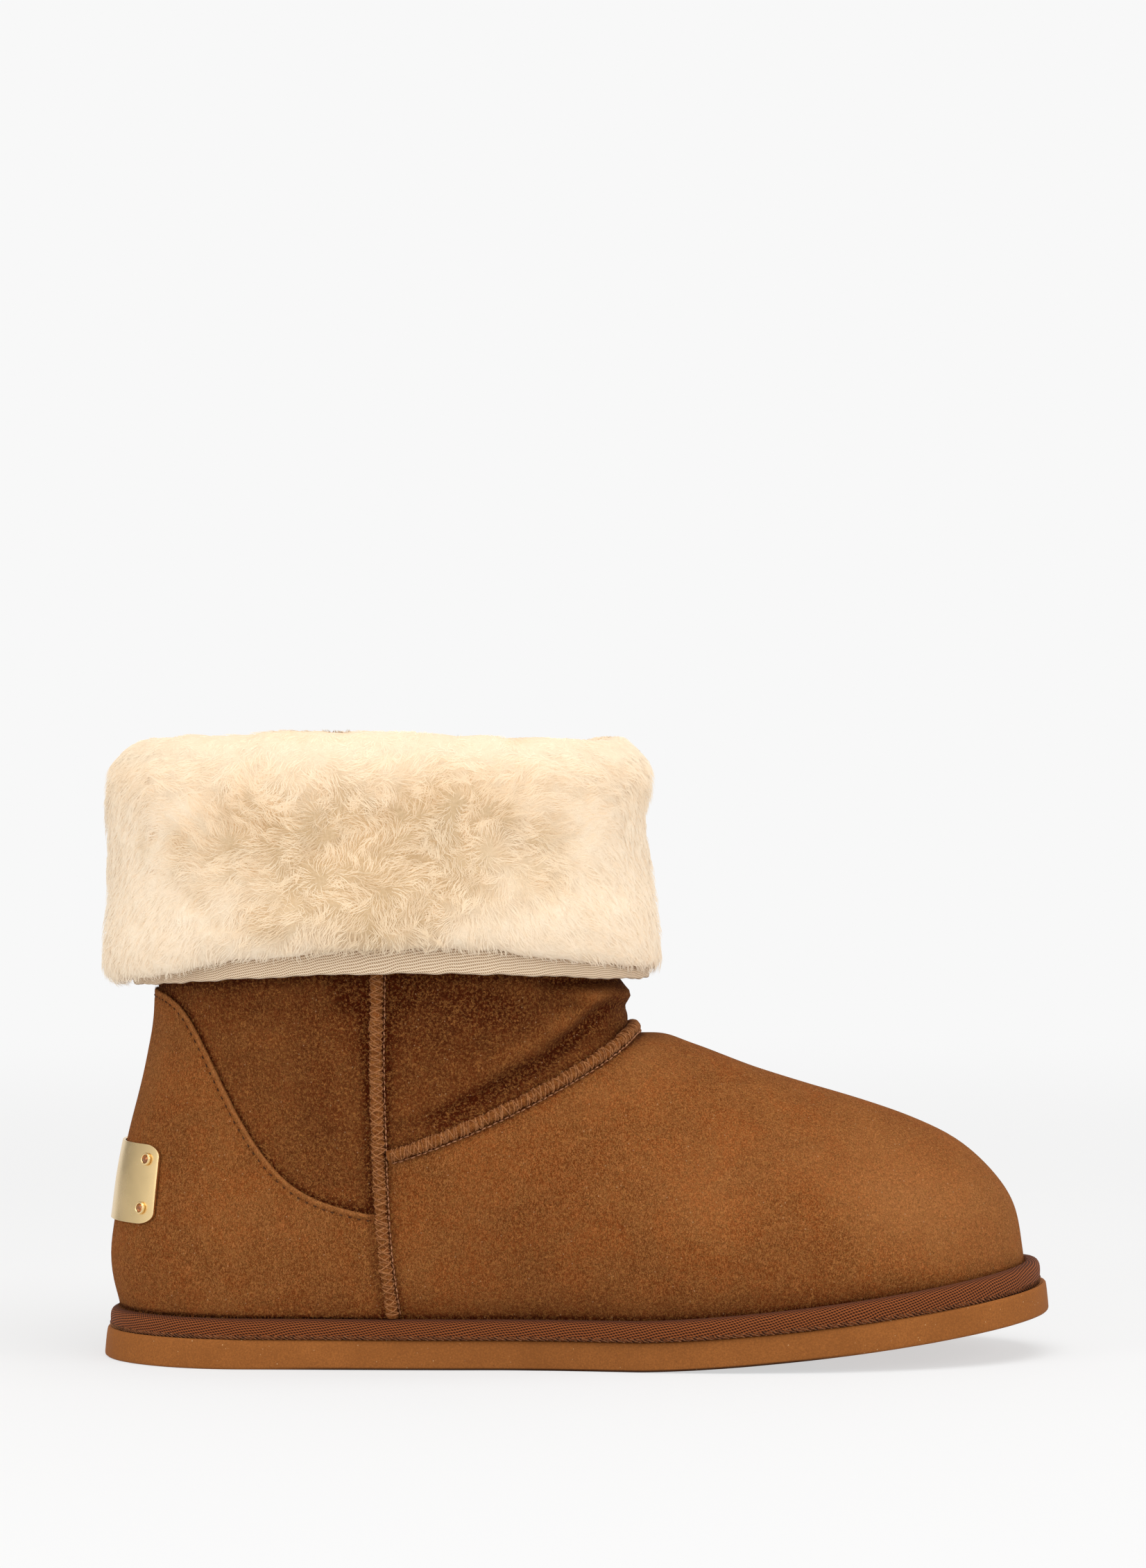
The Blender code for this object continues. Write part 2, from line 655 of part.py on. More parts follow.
def centre_base(boot):
    """Puts the middle of the boot's base at the origin."""
    bpy.context.view_layer.update()
    graph = bpy.context.evaluated_depsgraph_get()
    lows, highs = [], []
    for part in boot.parts.objects:
        if part.type == "EMPTY":
            continue
        seen = part.evaluated_get(graph)
        points = [seen.matrix_world @ v.co for v in seen.to_mesh().vertices]
        lows.append(np.min(points, axis=0))
        highs.append(np.max(points, axis=0))
        seen.to_mesh_clear()
    middle = (np.min(lows, axis=0) + np.max(highs, axis=0)) / 2
    boot.carrier.location = (-middle[0], -middle[1], 0)


def main():
    clear_scene()
    boot = Boot()
    make_outsole(boot)
    make_tape(boot)
    make_upper(boot)
    make_insole(boot)
    make_counter(boot)
    make_plate(boot)
    make_stones(boot)
    make_seams(boot)
    make_cuff(boot)
    make_binding(boot)
    centre_base(boot)


main()
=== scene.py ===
"""A sheepskin ankle boot with a turned-down wool cuff, for a right foot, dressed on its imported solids.

Sizes in the tables are millimetres in the last's own frame: x runs forwards from the back end of the
outsole, y runs to the inner (big toe) side and z runs up from the floor.
"""

import math

import bpy
import numpy as np
from bpy.props import FloatProperty, FloatVectorProperty, IntProperty, PointerProperty
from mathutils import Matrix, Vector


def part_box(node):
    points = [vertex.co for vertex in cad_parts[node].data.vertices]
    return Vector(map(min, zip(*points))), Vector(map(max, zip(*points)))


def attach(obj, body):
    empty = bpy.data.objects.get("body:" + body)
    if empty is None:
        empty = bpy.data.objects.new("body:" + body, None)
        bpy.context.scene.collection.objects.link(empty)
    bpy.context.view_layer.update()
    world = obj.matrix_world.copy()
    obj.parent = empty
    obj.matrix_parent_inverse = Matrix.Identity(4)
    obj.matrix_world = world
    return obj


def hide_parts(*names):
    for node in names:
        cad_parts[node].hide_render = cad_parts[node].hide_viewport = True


bl_info = {
    "name": "Sheepskin Ankle Boot",
    "version": (1, 0, 0),
    "blender": (4, 5, 0),
    "location": "View3D > Sidebar > Boot",
    "description": "Builds a sheepskin ankle boot piece by piece around its packed solids",
    "category": "Add Mesh",
}

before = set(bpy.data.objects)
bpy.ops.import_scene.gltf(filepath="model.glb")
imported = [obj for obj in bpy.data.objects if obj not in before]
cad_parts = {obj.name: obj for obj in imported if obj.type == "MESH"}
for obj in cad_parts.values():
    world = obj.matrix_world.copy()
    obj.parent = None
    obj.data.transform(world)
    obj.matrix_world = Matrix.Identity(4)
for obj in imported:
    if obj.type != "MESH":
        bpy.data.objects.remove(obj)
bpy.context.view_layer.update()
BODY = "root"
MM = 0.001
TURN = 2 * math.pi
LATTICE_MIX, CELL_MIX = (12.9898, 78.233, 37.719), (127.1, 311.7, 74.7)  # spread places before a sine

# ---------------------------------------------------------------- the last and its outlines

GAP = 0.3
SOLE_LENGTH, SOLE_THICKNESS = 271.0, 8.4
TOE_SPRING, SPRING_START, SPRING_POWER = 12.4, 152.0, 1.4
GROOVE_WIDTH, GROOVE_DEPTH, GROOVE_MARGIN = 3.0, 1.3, 7.0
GROOVES = (22.0, 34.0, 46.0, 58.0, 150.0, 164.0, 178.0, 192.0, 206.0, 220.0)
WALL, INSOLE_PLAY = 9.0, 0.9
TAPE_TOP, TAPE_TOE_RISE, TAPE_TOE_PROUD, TAPE_THICKNESS = 5.2, 1.4, 1.0, 3.6
COUNTER_PROUD, PLATE_OUT, PLATE_THICKNESS, PLATE_CORNER = 1.15, 1.5, 0.8, 3.3
SEAM_LOW, SIDE_SEAM_TOP = 14.5, 119.0
STITCH_INSET, STITCH_PITCH, STITCH_LENGTH = 1.8, 2.6, 1.1  # of the row along the counter's edge
RIDGE_SIDES, RIDGE_LIFT, THREAD_STEPS, THREAD_RADIUS = 14, 0.25, 11, 0.185
EDGE_PITCH, EDGE_LENGTH, EDGE_BESIDE = 1.75, 1.4, 0.42  # of the stitches beside a raised seam
TAPE_SHADE_FROM = 0.6  # how far above the sole tape its shade on the suede begins
SHAFT_TOP, RIM_DROP = 166.0, 2.2

LAST_COLUMNS = (
    "x_back", "z_back", "x_front", "z_front", "heel", "waist_out", "waist_in",
    "ball_out", "ball_in", "back_len", "front_len", "toe_in",
)
LAST = (
    (5.6, 7.4, 263.4, 19.3, 31.6, 34.0, 30.0, 42.6, 42.0, 40.0, 74.0, 6.0),
    (5.4, 14.4, 263.8, 26.3, 32.2, 35.0, 31.0, 43.2, 42.6, 40.0, 76.0, 6.0),
    (3.8, 21.0, 263.2, 31.6, 33.4, 38.2, 35.2, 45.2, 44.6, 41.0, 80.0, 6.0),
    (2.9, 30.0, 261.6, 40.6, 34.2, 40.0, 38.4, 45.8, 45.2, 43.0, 90.0, 6.0),
    (4.2, 40.0, 256.4, 50.2, 34.2, 41.2, 40.4, 45.2, 44.8, 45.0, 106.0, 5.6),
    (5.5, 50.0, 242.0, 62.8, 33.8, 41.8, 41.2, 43.4, 43.0, 47.0, 124.0, 5.0),
    (7.3, 60.0, 214.8, 73.5, 33.6, 42.2, 41.8, 41.8, 41.4, 49.0, 126.0, 4.0),
    (9.7, 70.0, 184.6, 83.2, 34.6, 42.8, 42.6, 41.4, 41.2, 52.0, 118.0, 2.8),
    (12.2, 80.0, 162.8, 91.0, 37.0, 43.6, 43.6, 42.2, 42.2, 56.0, 100.0, 1.4),
    (14.2, 90.0, 151.4, 93.0, 40.0, 44.4, 44.4, 43.4, 43.4, 61.0, 80.0, 0.5),
    (15.7, 104.0, 149.4, 103.0, 43.4, 45.0, 45.0, 44.6, 44.6, 66.0, 68.0, 0.0),
    (15.7, 134.0, 145.6, 135.0, 45.0, 45.2, 45.2, 45.0, 45.0, 66.6, 66.6, 0.0),
    (15.3, 166.0, 145.2, 166.0, 45.4, 45.4, 45.4, 45.4, 45.4, 66.5, 66.5, 0.0),
)
HEEL_AT, WAIST_AT, BALL_AT, TOE_ROUNDNESS = 0.12, 0.40, 0.68, 2.15
TOP_LEVEL = len(LAST) - 1.0
SOLE_OUTLINE = (0.0, 0.0, SOLE_LENGTH, 0.0, 36.2, 38.2, 34.4, 47.0, 46.6, 42.0, 78.0, 6.4)

COUNTER_EDGE = (  # x, z: upper edge of the heel counter
    (-12.0, 106.4), (12.0, 105.6), (21.5, 103.0), (27.2, 97.0), (34.1, 83.9),
    (43.2, 67.0), (57.0, 51.0), (76.6, 44.2),
)
SIDE_SEAM = (  # z, x
    (9.0, 84.2), (21.0, 82.7), (30.0, 81.5), (40.0, 80.6), (56.0, 79.9), (90.0, 79.5), (130.0, 80.0),
)
INSTEP_X, INSTEP_Z, INSTEP_SLOPE, INSTEP_CURVE = 81.9, 60.2, 0.31, 0.0024
PLATE_Z, PLATE_X = (39.4, 61.6), (16.1, 18.3)  # the plate's low and high edges, and how far forward each runs
STONES = ((12.2, 44.2), (13.9, 57.9))  # x, z of the low and the high stone, on each side

# Folds of the suede as seen from the side: how far the middle of the fold stands out (or, below
# zero, sinks in), how wide it is, and the way it runs.
THROAT_FOLD = ((147.0, 103.4), (139.6, 98.0), (127.3, 87.6), (114.8, 80.4), (100.0, 72.7), (92.0, 69.6))
FOLDS = (
    (-2.9, 2.3, ((151.0, 108.4), (144.0, 108.6), (136.0, 108.3), (127.0, 109.0), (119.0, 110.0))),
    (1.5, 2.2, ((152.0, 103.2), (146.0, 103.8), (139.0, 105.6), (131.0, 107.0))),
    (-1.0, 1.9, ((140.0, 103.0), (134.0, 103.8), (127.0, 104.4), (121.0, 104.6))),
    (-0.9, 1.5, ((152.0, 99.0), (148.5, 100.4), (144.0, 101.8))),
    (1.0, 2.8, ((146.0, 107.0), (139.0, 102.6), (132.0, 97.0), (122.0, 90.6), (110.0, 84.6), (100.0, 79.6))),
    (-2.1, 2.3, THROAT_FOLD),
    (-1.0, 2.6, ((102.0, 73.6), (94.0, 70.6), (87.0, 68.6), (83.0, 68.4))),
    (0.7, 5.0, ((176.0, 82.0), (160.0, 80.5), (144.0, 74.0), (126.0, 66.0))),
    (-1.5, 4.2, ((88.5, 118.0), (88.0, 108.0), (87.0, 99.0))),
    (-1.5, 4.2, ((70.5, 118.0), (71.0, 107.0), (72.5, 98.0))),
    (-0.7, 6.0, ((112.0, 112.0), (104.0, 104.0), (98.0, 96.0))),
    (0.6, 7.0, ((100.0, 112.0), (104.0, 98.0), (108.0, 90.0))),
    (-0.6, 5.0, ((32.0, 112.0), (42.0, 104.0), (52.0, 92.0))),
    (-0.5, 9.0, ((205.0, 36.0), (190.0, 44.0), (172.0, 50.0))),
    (0.5, 10.0, ((226.0, 44.0), (206.0, 52.0), (184.0, 60.0))),
)

# Patches on the suede as seen from the side, partly its own tone and partly painted shade and
# painted light, such as lighter fold ridges and toe and darker spots by the seams under the cuff:
# middle, half width, half height, and how dark; a patch below zero is lighter. The second table is
# for the heel counter.
SHADE_LIGHT_AND_TONE_PATCHES = (
    (87.5, 112.0, 6.5, 7.0, 0.42), (71.5, 112.0, 5.0, 8.0, 0.30), (104.0, 109.0, 12.0, 5.0, 0.16),
    (60.0, 88.0, 9.0, 12.0, 0.10), (66.0, 70.0, 8.0, 10.0, 0.14), (94.0, 78.0, 10.0, 6.0, 0.12),
    (150.0, 24.0, 40.0, 7.0, 0.10), (40.0, 34.0, 16.0, 8.0, 0.10), (110.0, 40.0, 16.0, 14.0, 0.06),
    (140.5, 104.4, 6.5, 2.8, -0.46), (132.0, 97.6, 6.0, 2.8, -0.38), (121.0, 91.0, 8.0, 2.6, -0.24),
    (113.0, 101.0, 14.0, 5.5, 0.20), (118.0, 109.2, 16.0, 1.5, -0.30), (172.0, 48.0, 16.0, 13.0, -0.15),
    (222.0, 48.0, 13.0, 14.0, -0.16), (122.0, 32.0, 26.0, 12.0, 0.12), (198.0, 34.0, 10.0, 12.0, 0.10),
    (157.0, 87.0, 9.0, 4.0, -0.16), (44.0, 95.0, 12.0, 5.0, -0.14), (64.0, 77.0, 8.0, 9.0, 0.12),
    (52.0, 70.0, 7.0, 8.0, -0.12), (210.0, 60.0, 24.0, 8.0, -0.10),
    (124.0, 106.0, 9.0, 2.4, -0.16), (95.0, 96.0, 10.0, 12.0, 0.06), (240.0, 42.0, 24.0, 18.0, -0.16),
    (264.0, 26.0, 20.0, 17.0, -0.22), (238.0, 48.0, 26.0, 13.0, -0.17),
)
COUNTER_SHADE_LIGHT_AND_TONE_PATCHES = (
    (14.0, 86.0, 10.0, 14.0, -0.13), (24.0, 66.0, 9.0, 12.0, 0.10), (50.0, 40.0, 18.0, 9.0, -0.08),
    (24.0, 30.0, 22.0, 9.0, 0.10), (66.0, 26.0, 16.0, 8.0, 0.10),
)

# Section of the cuff's wool body, from the inner foot of its outer limb up, over the top of the
# shaft and down the outside: distance out from the shaft, height, and share of the extra depth at
# the back.
CUFF_SECTION = (
    (4.9, 114.6, 0.0), (4.9, 136.0, 0.0), (4.9, 158.0, 0.0), (3.8, 164.6, 0.0), (1.4, 166.4, 0.0),
    (-4.0, 166.4, 0.0), (-8.8, 166.4, 0.0), (-8.6, 171.0, 0.0), (-6.2, 175.4, 0.0),
    (-2.6, 177.8, 0.1), (2.4, 178.2, 0.3), (6.6, 175.6, 0.5), (9.6, 170.8, 0.5), (11.4, 164.0, 0.6),
    (11.7, 156.0, 0.8), (11.2, 144.0, 0.8), (12.4, 131.0, 0.7), (13.2, 121.5, 1.0),
    (12.4, 115.6, 1.0), (10.4, 113.4, 0.8), (8.6, 114.2, 0.3), (7.8, 116.4, 0.0), (6.6, 116.6, 0.0),
)
CUFF_BACK_BULGE, CUFF_RADIUS = 2.0, 57.0
CUFF_FOOT_Z, WAVE_FROM, WAVE_TO = 113.4, 116.0, 160.0  # the section's foot, and where its wave fades out
RIM_FROM, RIM_DEPTH, RIM_SIDE_DROP = 166.4, 11.6, 3.0
WOOL_FROM, WOOL_TO = 6.2, 20.2  # the strands' first and last places along the section
MOUTH_ROUND, MOUTH_DEPTH = 230.0, 62.0  # the lining's strip of strands inside the mouth
STRAND_POINTS = 7
TAPE_SECTION = (  # of the sole tape: share of the thickness, share of the height
    (0.0, 0.25), (0.05, 0.05), (0.35, 0.0), (0.84, 0.0), (0.97, 0.03), (1.0, 0.12), (1.01, 0.34),
    (0.98, 0.62), (0.88, 0.82), (0.72, 0.94), (0.5, 1.0), (0.28, 1.02), (0.08, 1.0), (0.0, 0.8),
)
# Heights of the wool's and the binding tape's lower edges: at the sides, with cos and cos squared.
WOOL_EDGE = (119.2, 1.8, -9.8)
BINDING_EDGE = (112.0, 0.9, -4.5)

SHIFT_X = SOLE_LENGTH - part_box("outsole")[1].x / MM


# ---------------------------------------------------------------- shapes worked out as arrays


def smooth_step(t):
    """0 to 1 with level ends: three t squared less two t cubed."""
    t = np.clip(t, 0, 1)
    return t * t * (3 - 2 * t)


def bell(distance, width):
    """e to minus the square of the distance over the width."""
    return np.exp(-((distance / width) ** 2))


def cubic(values, at):
    """A natural cubic spline through the values at 0, 1, 2 and so on, read at the places in at."""
    heights = np.asarray(values, float)
    count = len(heights)
    matrix, bend = np.eye(count), np.zeros(count)
    for i in range(1, count - 1):
        matrix[i, i - 1 : i + 2] = (1, 4, 1)
        bend[i] = 6 * (heights[i - 1] - 2 * heights[i] + heights[i + 1])
    bend = np.linalg.solve(matrix, bend)
    at = np.clip(np.asarray(at, float), 0, count - 1)
    i = np.minimum(at.astype(int), count - 2)
    far = at - i
    near = 1 - far
    curved = (near**3 - near) * bend[i] + (far**3 - far) * bend[i + 1]
    return near * heights[i] + far * heights[i + 1] + curved / 6


def splined(rows, at):
    """The columns of a table, each splined and read at the same places."""
    return [cubic(column, at) for column in zip(*rows)]


def toe_lift(x):
    """The share of the way from the ball to the toe, to a power, times the toe's spring."""
    share = np.maximum(0, np.asarray(x, float) - SPRING_START) / (SOLE_LENGTH - SPRING_START)
    return TOE_SPRING * share**SPRING_POWER


def end_round(inset, length, power):
    """1 away from an end, falling to 0 at it as a quarter of a superellipse that long."""
    rest = 1 - np.clip(inset / length, 0, 1)
    return (1 - rest**power) ** (1 / power)


def outline_xyz(phi, row):
    """A section at the angles phi: x is its middle plus half its length times cos phi; y is the half
    width, eased between heel, waist and ball, times both rounded ends; z leans up to the front."""
    half = (row["x_front"] - row["x_back"]) / 2
    along = (1 + np.cos(phi)) / 2
    x = row["x_back"] + 2 * half * along
    inner = np.sin(phi) >= 0
    waist = np.where(inner, row["waist_in"], row["waist_out"])
    ball = np.where(inner, row["ball_in"], row["ball_out"])
    to_waist = smooth_step((along - HEEL_AT) / (WAIST_AT - HEEL_AT))
    to_ball = smooth_step((along - WAIST_AT) / (BALL_AT - WAIST_AT))
    body = row["heel"] + (waist - row["heel"]) * to_waist + (ball - waist) * to_ball
    ends = end_round(x - row["x_back"], row["back_len"], 2)
    ends = ends * end_round(row["x_front"] - x, row["front_len"], TOE_ROUNDNESS)
    y = np.where(inner, 1, -1) * body * ends + row["toe_in"] * along**3
    lean = row["z_front"] - row["z_back"] - toe_lift(row["x_front"])
    z = row["z_back"] + toe_lift(x) + lean * along**2
    return np.stack(np.broadcast_arrays(x, y, z), -1)


def last_row(level):
    """The last's measures at a level, splined between its rows."""
    return dict(zip(LAST_COLUMNS, splined(LAST, level)))


def last_xyz(phi, level):
    return outline_xyz(phi, last_row(level))


def level_near(z):
    """The level whose row stands at that height at the back."""
    return np.interp(z, [row[1] for row in LAST], np.arange(len(LAST)))


def last_normal(phi, level):
    """The cross product of the surface's small steps round and up."""
    step = 1e-3
    level = np.clip(level, step, TOP_LEVEL - step)
    round_it = last_xyz(phi + step, level) - last_xyz(phi - step, level)
    up_it = last_xyz(phi, level + step) - last_xyz(phi, level - step)
    return unit(np.cross(round_it, up_it))


def unit(vectors):
    """The vectors over their own lengths."""
    return vectors / np.maximum(np.linalg.norm(vectors, axis=-1, keepdims=True), 1e-12)


def level_where(phi, wanted):
    """Halves the range of levels until wanted(x, z) turns from under to over zero; phi is an array of
    angles, or gives them for an array of levels."""
    angle = phi if callable(phi) else lambda _: phi
    halvings = 36
    low = np.zeros_like(angle(0.0))
    high = low + TOP_LEVEL
    for _ in range(halvings):
        middle = (low + high) / 2
        point = last_xyz(angle(middle), middle)
        over = wanted(point[..., 0], point[..., 2]) > 0
        low, high = np.where(over, low, middle), np.where(over, middle, high)
    return (low + high) / 2


def angle_at(x, level, side):
    """The angle at x: the arc cosine of its share of the outline's half length."""
    row = last_row(level)
    middle, half = (row["x_front"] + row["x_back"]) / 2, (row["x_front"] - row["x_back"]) / 2
    return side * np.arccos(np.clip((x - middle) / half, -1, 1))


def place_at(x, z, side, out):
    """The angle and level whose point, that far out from the last, is at x and z."""
    x, z = np.atleast_1d(x).astype(float), np.atleast_1d(z).astype(float)
    aim_x, aim_z = x.copy(), z.copy()
    level = level_near(z)
    corrections = 8
    for _ in range(corrections):
        phi = angle_at(aim_x, level, side)
        level = level_where(phi, lambda _, height: height - aim_z)
        point = last_xyz(phi, level) + last_normal(phi, level) * out
        aim_x += x - point[:, 0]
        aim_z += z - point[:, 2]
    return phi, level


def up_and_round(phi, level, normal):
    """The direction up the last, and the one round it that is square to that and to the normal."""
    step = 0.02
    up = unit(last_xyz(phi, level + step) - last_xyz(phi, level - step))
    return up, np.cross(up, normal)


def flat_outward(phi, row, out):
    """An outline's points moved straight out, level with the floor."""
    step = 1e-3
    tangent = outline_xyz(phi + step, row) - outline_xyz(phi - step, row)
    normal = unit(np.stack([tangent[..., 1], -tangent[..., 0]], -1))
    points = outline_xyz(phi, row)
    points[..., :2] += normal * np.broadcast_to(out, points.shape[:-1])[..., None]
    return points


def scrambled(value):
    """The fraction left of a large multiple of the value's sine: as good as random, 0 to 1."""
    mixed = np.sin(value) * 43758.5453
    return mixed - np.floor(mixed)


def soft_noise(points, size, seed=0.0):
    """Random heights on a lattice of that size, each from its corner's place, blended with a smooth
    step in all three directions; -1 to 1."""
    spot = points / size + seed * 7.13
    cell = np.floor(spot)
    part = smooth_step(spot - cell)
    total = np.zeros(points.shape[:-1])
    for corner in np.ndindex(2, 2, 2):
        at = cell + np.array(corner)
        weight = np.prod(np.where(np.array(corner) == 1, part, 1 - part), axis=-1)
        total += weight * scrambled(at @ np.array(LATTICE_MIX) + seed)
    return 2 * total - 1


def path_distance(points, path, samples=70):
    """How far each point is from the nearest of the samples on a splined path, and where along."""
    at = np.linspace(0, len(path) - 1, samples)
    line = np.stack(splined(path, at), -1)
    best = np.full(points.shape[:-1], np.inf)
    along = np.zeros(points.shape[:-1])
    for i in range(samples - 1):
        way = line[i + 1] - line[i]
        t = np.clip(((points - line[i]) @ way) / (way @ way), 0, 1)
        distance = np.linalg.norm(points - line[i] - t[..., None] * way, axis=-1)
        closer = distance < best
        along = np.where(closer, (i + t) / (samples - 1), along)
        best = np.where(closer, distance, best)
    return best, along


def instep_height(x):
    """The instep seam's height: a parabola forward from the side seam."""
    reach = x - INSTEP_X
    return INSTEP_Z + INSTEP_SLOPE * reach + INSTEP_CURVE * reach**2


def over_instep(x, z):
    """Distance above the instep seam, square to it, as seen from the side."""
    slope = INSTEP_SLOPE + 2 * INSTEP_CURVE * np.maximum(x - INSTEP_X, 0)
    return (z - instep_height(x)) / np.sqrt(1 + slope**2)


def side_seam_x(z):
    """How far forward the side seam is at that height, straight between its points."""
    return np.interp(z, *zip(*SIDE_SEAM))


def relief(points):
    """How far the suede stands out from the last: the sum of a bell across each fold, faded at the
    fold's ends, of the valleys beside the seams, and of slow undulations."""
    x, y, z = np.moveaxis(points, -1, 0)
    flat = np.stack([x, z], -1)
    total = 0.30 * soft_noise(points, 34.0, 3.0) + 0.12 * soft_noise(points, 13.0, 5.0)
    quiet = np.where(y > 0, 0.75, 1.0)
    for depth, width, path in FOLDS:
        distance, along = path_distance(flat, path)
        fade = smooth_step(np.minimum(along / 0.25 + 0.25 * (path[0][0] > 145), (1 - along) / 0.3))
        total = total + depth * quiet * bell(distance, width) * fade
    beside = np.abs(x - side_seam_x(z))
    total = total - 0.55 * bell(beside - 3.2, 2.4) * smooth_step((z - 20) / 60)
    above = over_instep(x, z)
    front = smooth_step((x - INSTEP_X - 4) / 14)
    total = total - 0.5 * bell(above, 3.4) * front
    total = total + 0.55 * bell(above + 6.5, 3.6) * front
    ankle = smooth_step((z - 112) / 10)
    return total * (1 - ankle) + np.minimum(total, 0) * ankle


def on_suede(phi, level, out):
    """A point that lies out from the suede's surface along the last's normal."""
    phi, level = np.broadcast_arrays(np.asarray(phi, float), np.asarray(level, float))
    base = last_xyz(phi, level)
    lift = relief(base) + np.broadcast_to(out, phi.shape)
    return base + last_normal(phi, level) * lift[..., None]


def circle(count):
    """Even angles round a whole turn."""
    return np.arange(count) * TURN / count


def spaced(weights, count, start, stop):
    """Places from start to stop whose spacing is the inverse of a density, by inverting its sum."""
    t = np.linspace(start, stop, 2000)
    total = np.cumsum(weights(t))
    return np.interp(np.linspace(total[0], total[-1], count), total, t)


def grid_faces(rows, columns, close_rows=False, close_columns=False):
    """Quads of a grid, and the unwrapped row and column of each of their corners."""
    i, j = np.meshgrid(
        np.arange(rows if close_rows else rows - 1),
        np.arange(columns if close_columns else columns - 1),
        indexing="ij",
    )
    i, j = i.ravel(), j.ravel()
    corner_rows = np.stack([i, i, i + 1, i + 1], -1)
    corner_columns = np.stack([j, j + 1, j + 1, j], -1)
    faces = (corner_rows % rows) * columns + corner_columns % columns
    return faces, corner_rows, corner_columns


def frames_along(curve, normals):
    """Unit tangents, surface normals squared to them, and the directions across both."""
    tangent = unit(np.gradient(curve, axis=0))
    normal = unit(normals - (normals * tangent).sum(-1, keepdims=True) * tangent)
    return tangent, normal, np.cross(tangent, normal)


def arc_length(curve):
    """The sum of the steps up to each of a curve's points."""
    steps = np.linalg.norm(np.diff(curve, axis=0), axis=-1)
    return np.concatenate([[0], np.cumsum(steps)])


def resample_by(field, lengths, at):
    """A field's vectors, known at some lengths, read at others."""
    return np.stack([np.interp(at, lengths, column) for column in field.T], -1)


def resample(curve, at):
    """A curve's points read at those lengths along it."""
    return resample_by(curve, arc_length(curve), at)


def many_tubes(curves, radius, sides=4):
    """Tubes for an array of short curves, each closed at both ends; gives points and faces. The
    radius is one number, one for each step or one for each curve."""
    count, steps, _ = curves.shape
    tangent = unit(np.gradient(curves, axis=1))
    helper = np.where(np.abs(tangent[..., 2:3]) > 0.9, np.array([1.0, 0, 0]), np.array([0, 0, 1.0]))
    first = unit(np.cross(tangent, helper))
    second = np.cross(tangent, first)
    angle = circle(sides)[:, None]
    ring = first[:, :, None] * np.cos(angle) + second[:, :, None] * np.sin(angle)
    points = curves[:, :, None] + np.broadcast_to(radius, (count, steps))[..., None, None] * ring
    quads, _, _ = grid_faces(steps, sides, close_columns=True)
    low = np.arange(sides)[::-1][None]
    high = (steps - 1) * sides + np.arange(sides)[None]
    offsets = (np.arange(count) * steps * sides)[:, None, None]
    faces = [(group[:, ::-1][None] + offsets).reshape(-1, group.shape[1]) for group in (quads, low, high)]
    return points.reshape(-1, 3), faces


# ---------------------------------------------------------------- meshes


def put(name, data):
    """A new object at the origin, linked into the scene."""
    made = bpy.data.objects.new(name, data)
    bpy.context.scene.collection.objects.link(made)
    return made


def add_piece(
    name, points, faces, material, stands_for=(), uv=None, values=None, normals=None
):
    """Puts arrays of points (mm) and faces into a mesh at the origin, and lets it ride on the boot."""
    points = np.asarray(points, float).reshape(-1, 3).copy()
    points[:, 0] -= SHIFT_X
    faces = [np.asarray(group) for group in (faces if isinstance(faces, list) else [faces])]
    mesh = bpy.data.meshes.new(name)
    mesh.vertices.add(len(points))
    mesh.vertices.foreach_set("co", (points * MM).ravel().astype(np.float32))
    corners = np.concatenate([group.ravel() for group in faces]).astype(np.int32)
    sizes = np.concatenate([np.full(len(group), group.shape[1]) for group in faces])
    mesh.loops.add(len(corners))
    mesh.loops.foreach_set("vertex_index", corners)
    mesh.polygons.add(len(sizes))
    starts = np.concatenate([[0], np.cumsum(sizes)[:-1]]).astype(np.int32)
    mesh.polygons.foreach_set("loop_start", starts)
    if uv is not None:
        layer = mesh.uv_layers.new(name="across")
        layer.data.foreach_set("uv", np.asarray(uv, np.float32).ravel())
    mesh.update(calc_edges=True)
    for key, value in (values or {}).items():
        attribute = mesh.attributes.new(key, "FLOAT", "POINT")
        attribute.data.foreach_set("value", np.asarray(value, np.float32).ravel())
    mesh.validate()
    mesh.shade_smooth()
    if normals is not None:
        mesh.normals_split_custom_set(normals)
    mesh.materials.append(material)
    piece = put(name, mesh)
    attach(piece, BODY)
    if stands_for:
        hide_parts(*stands_for)
    return piece


# ---------------------------------------------------------------- finishes


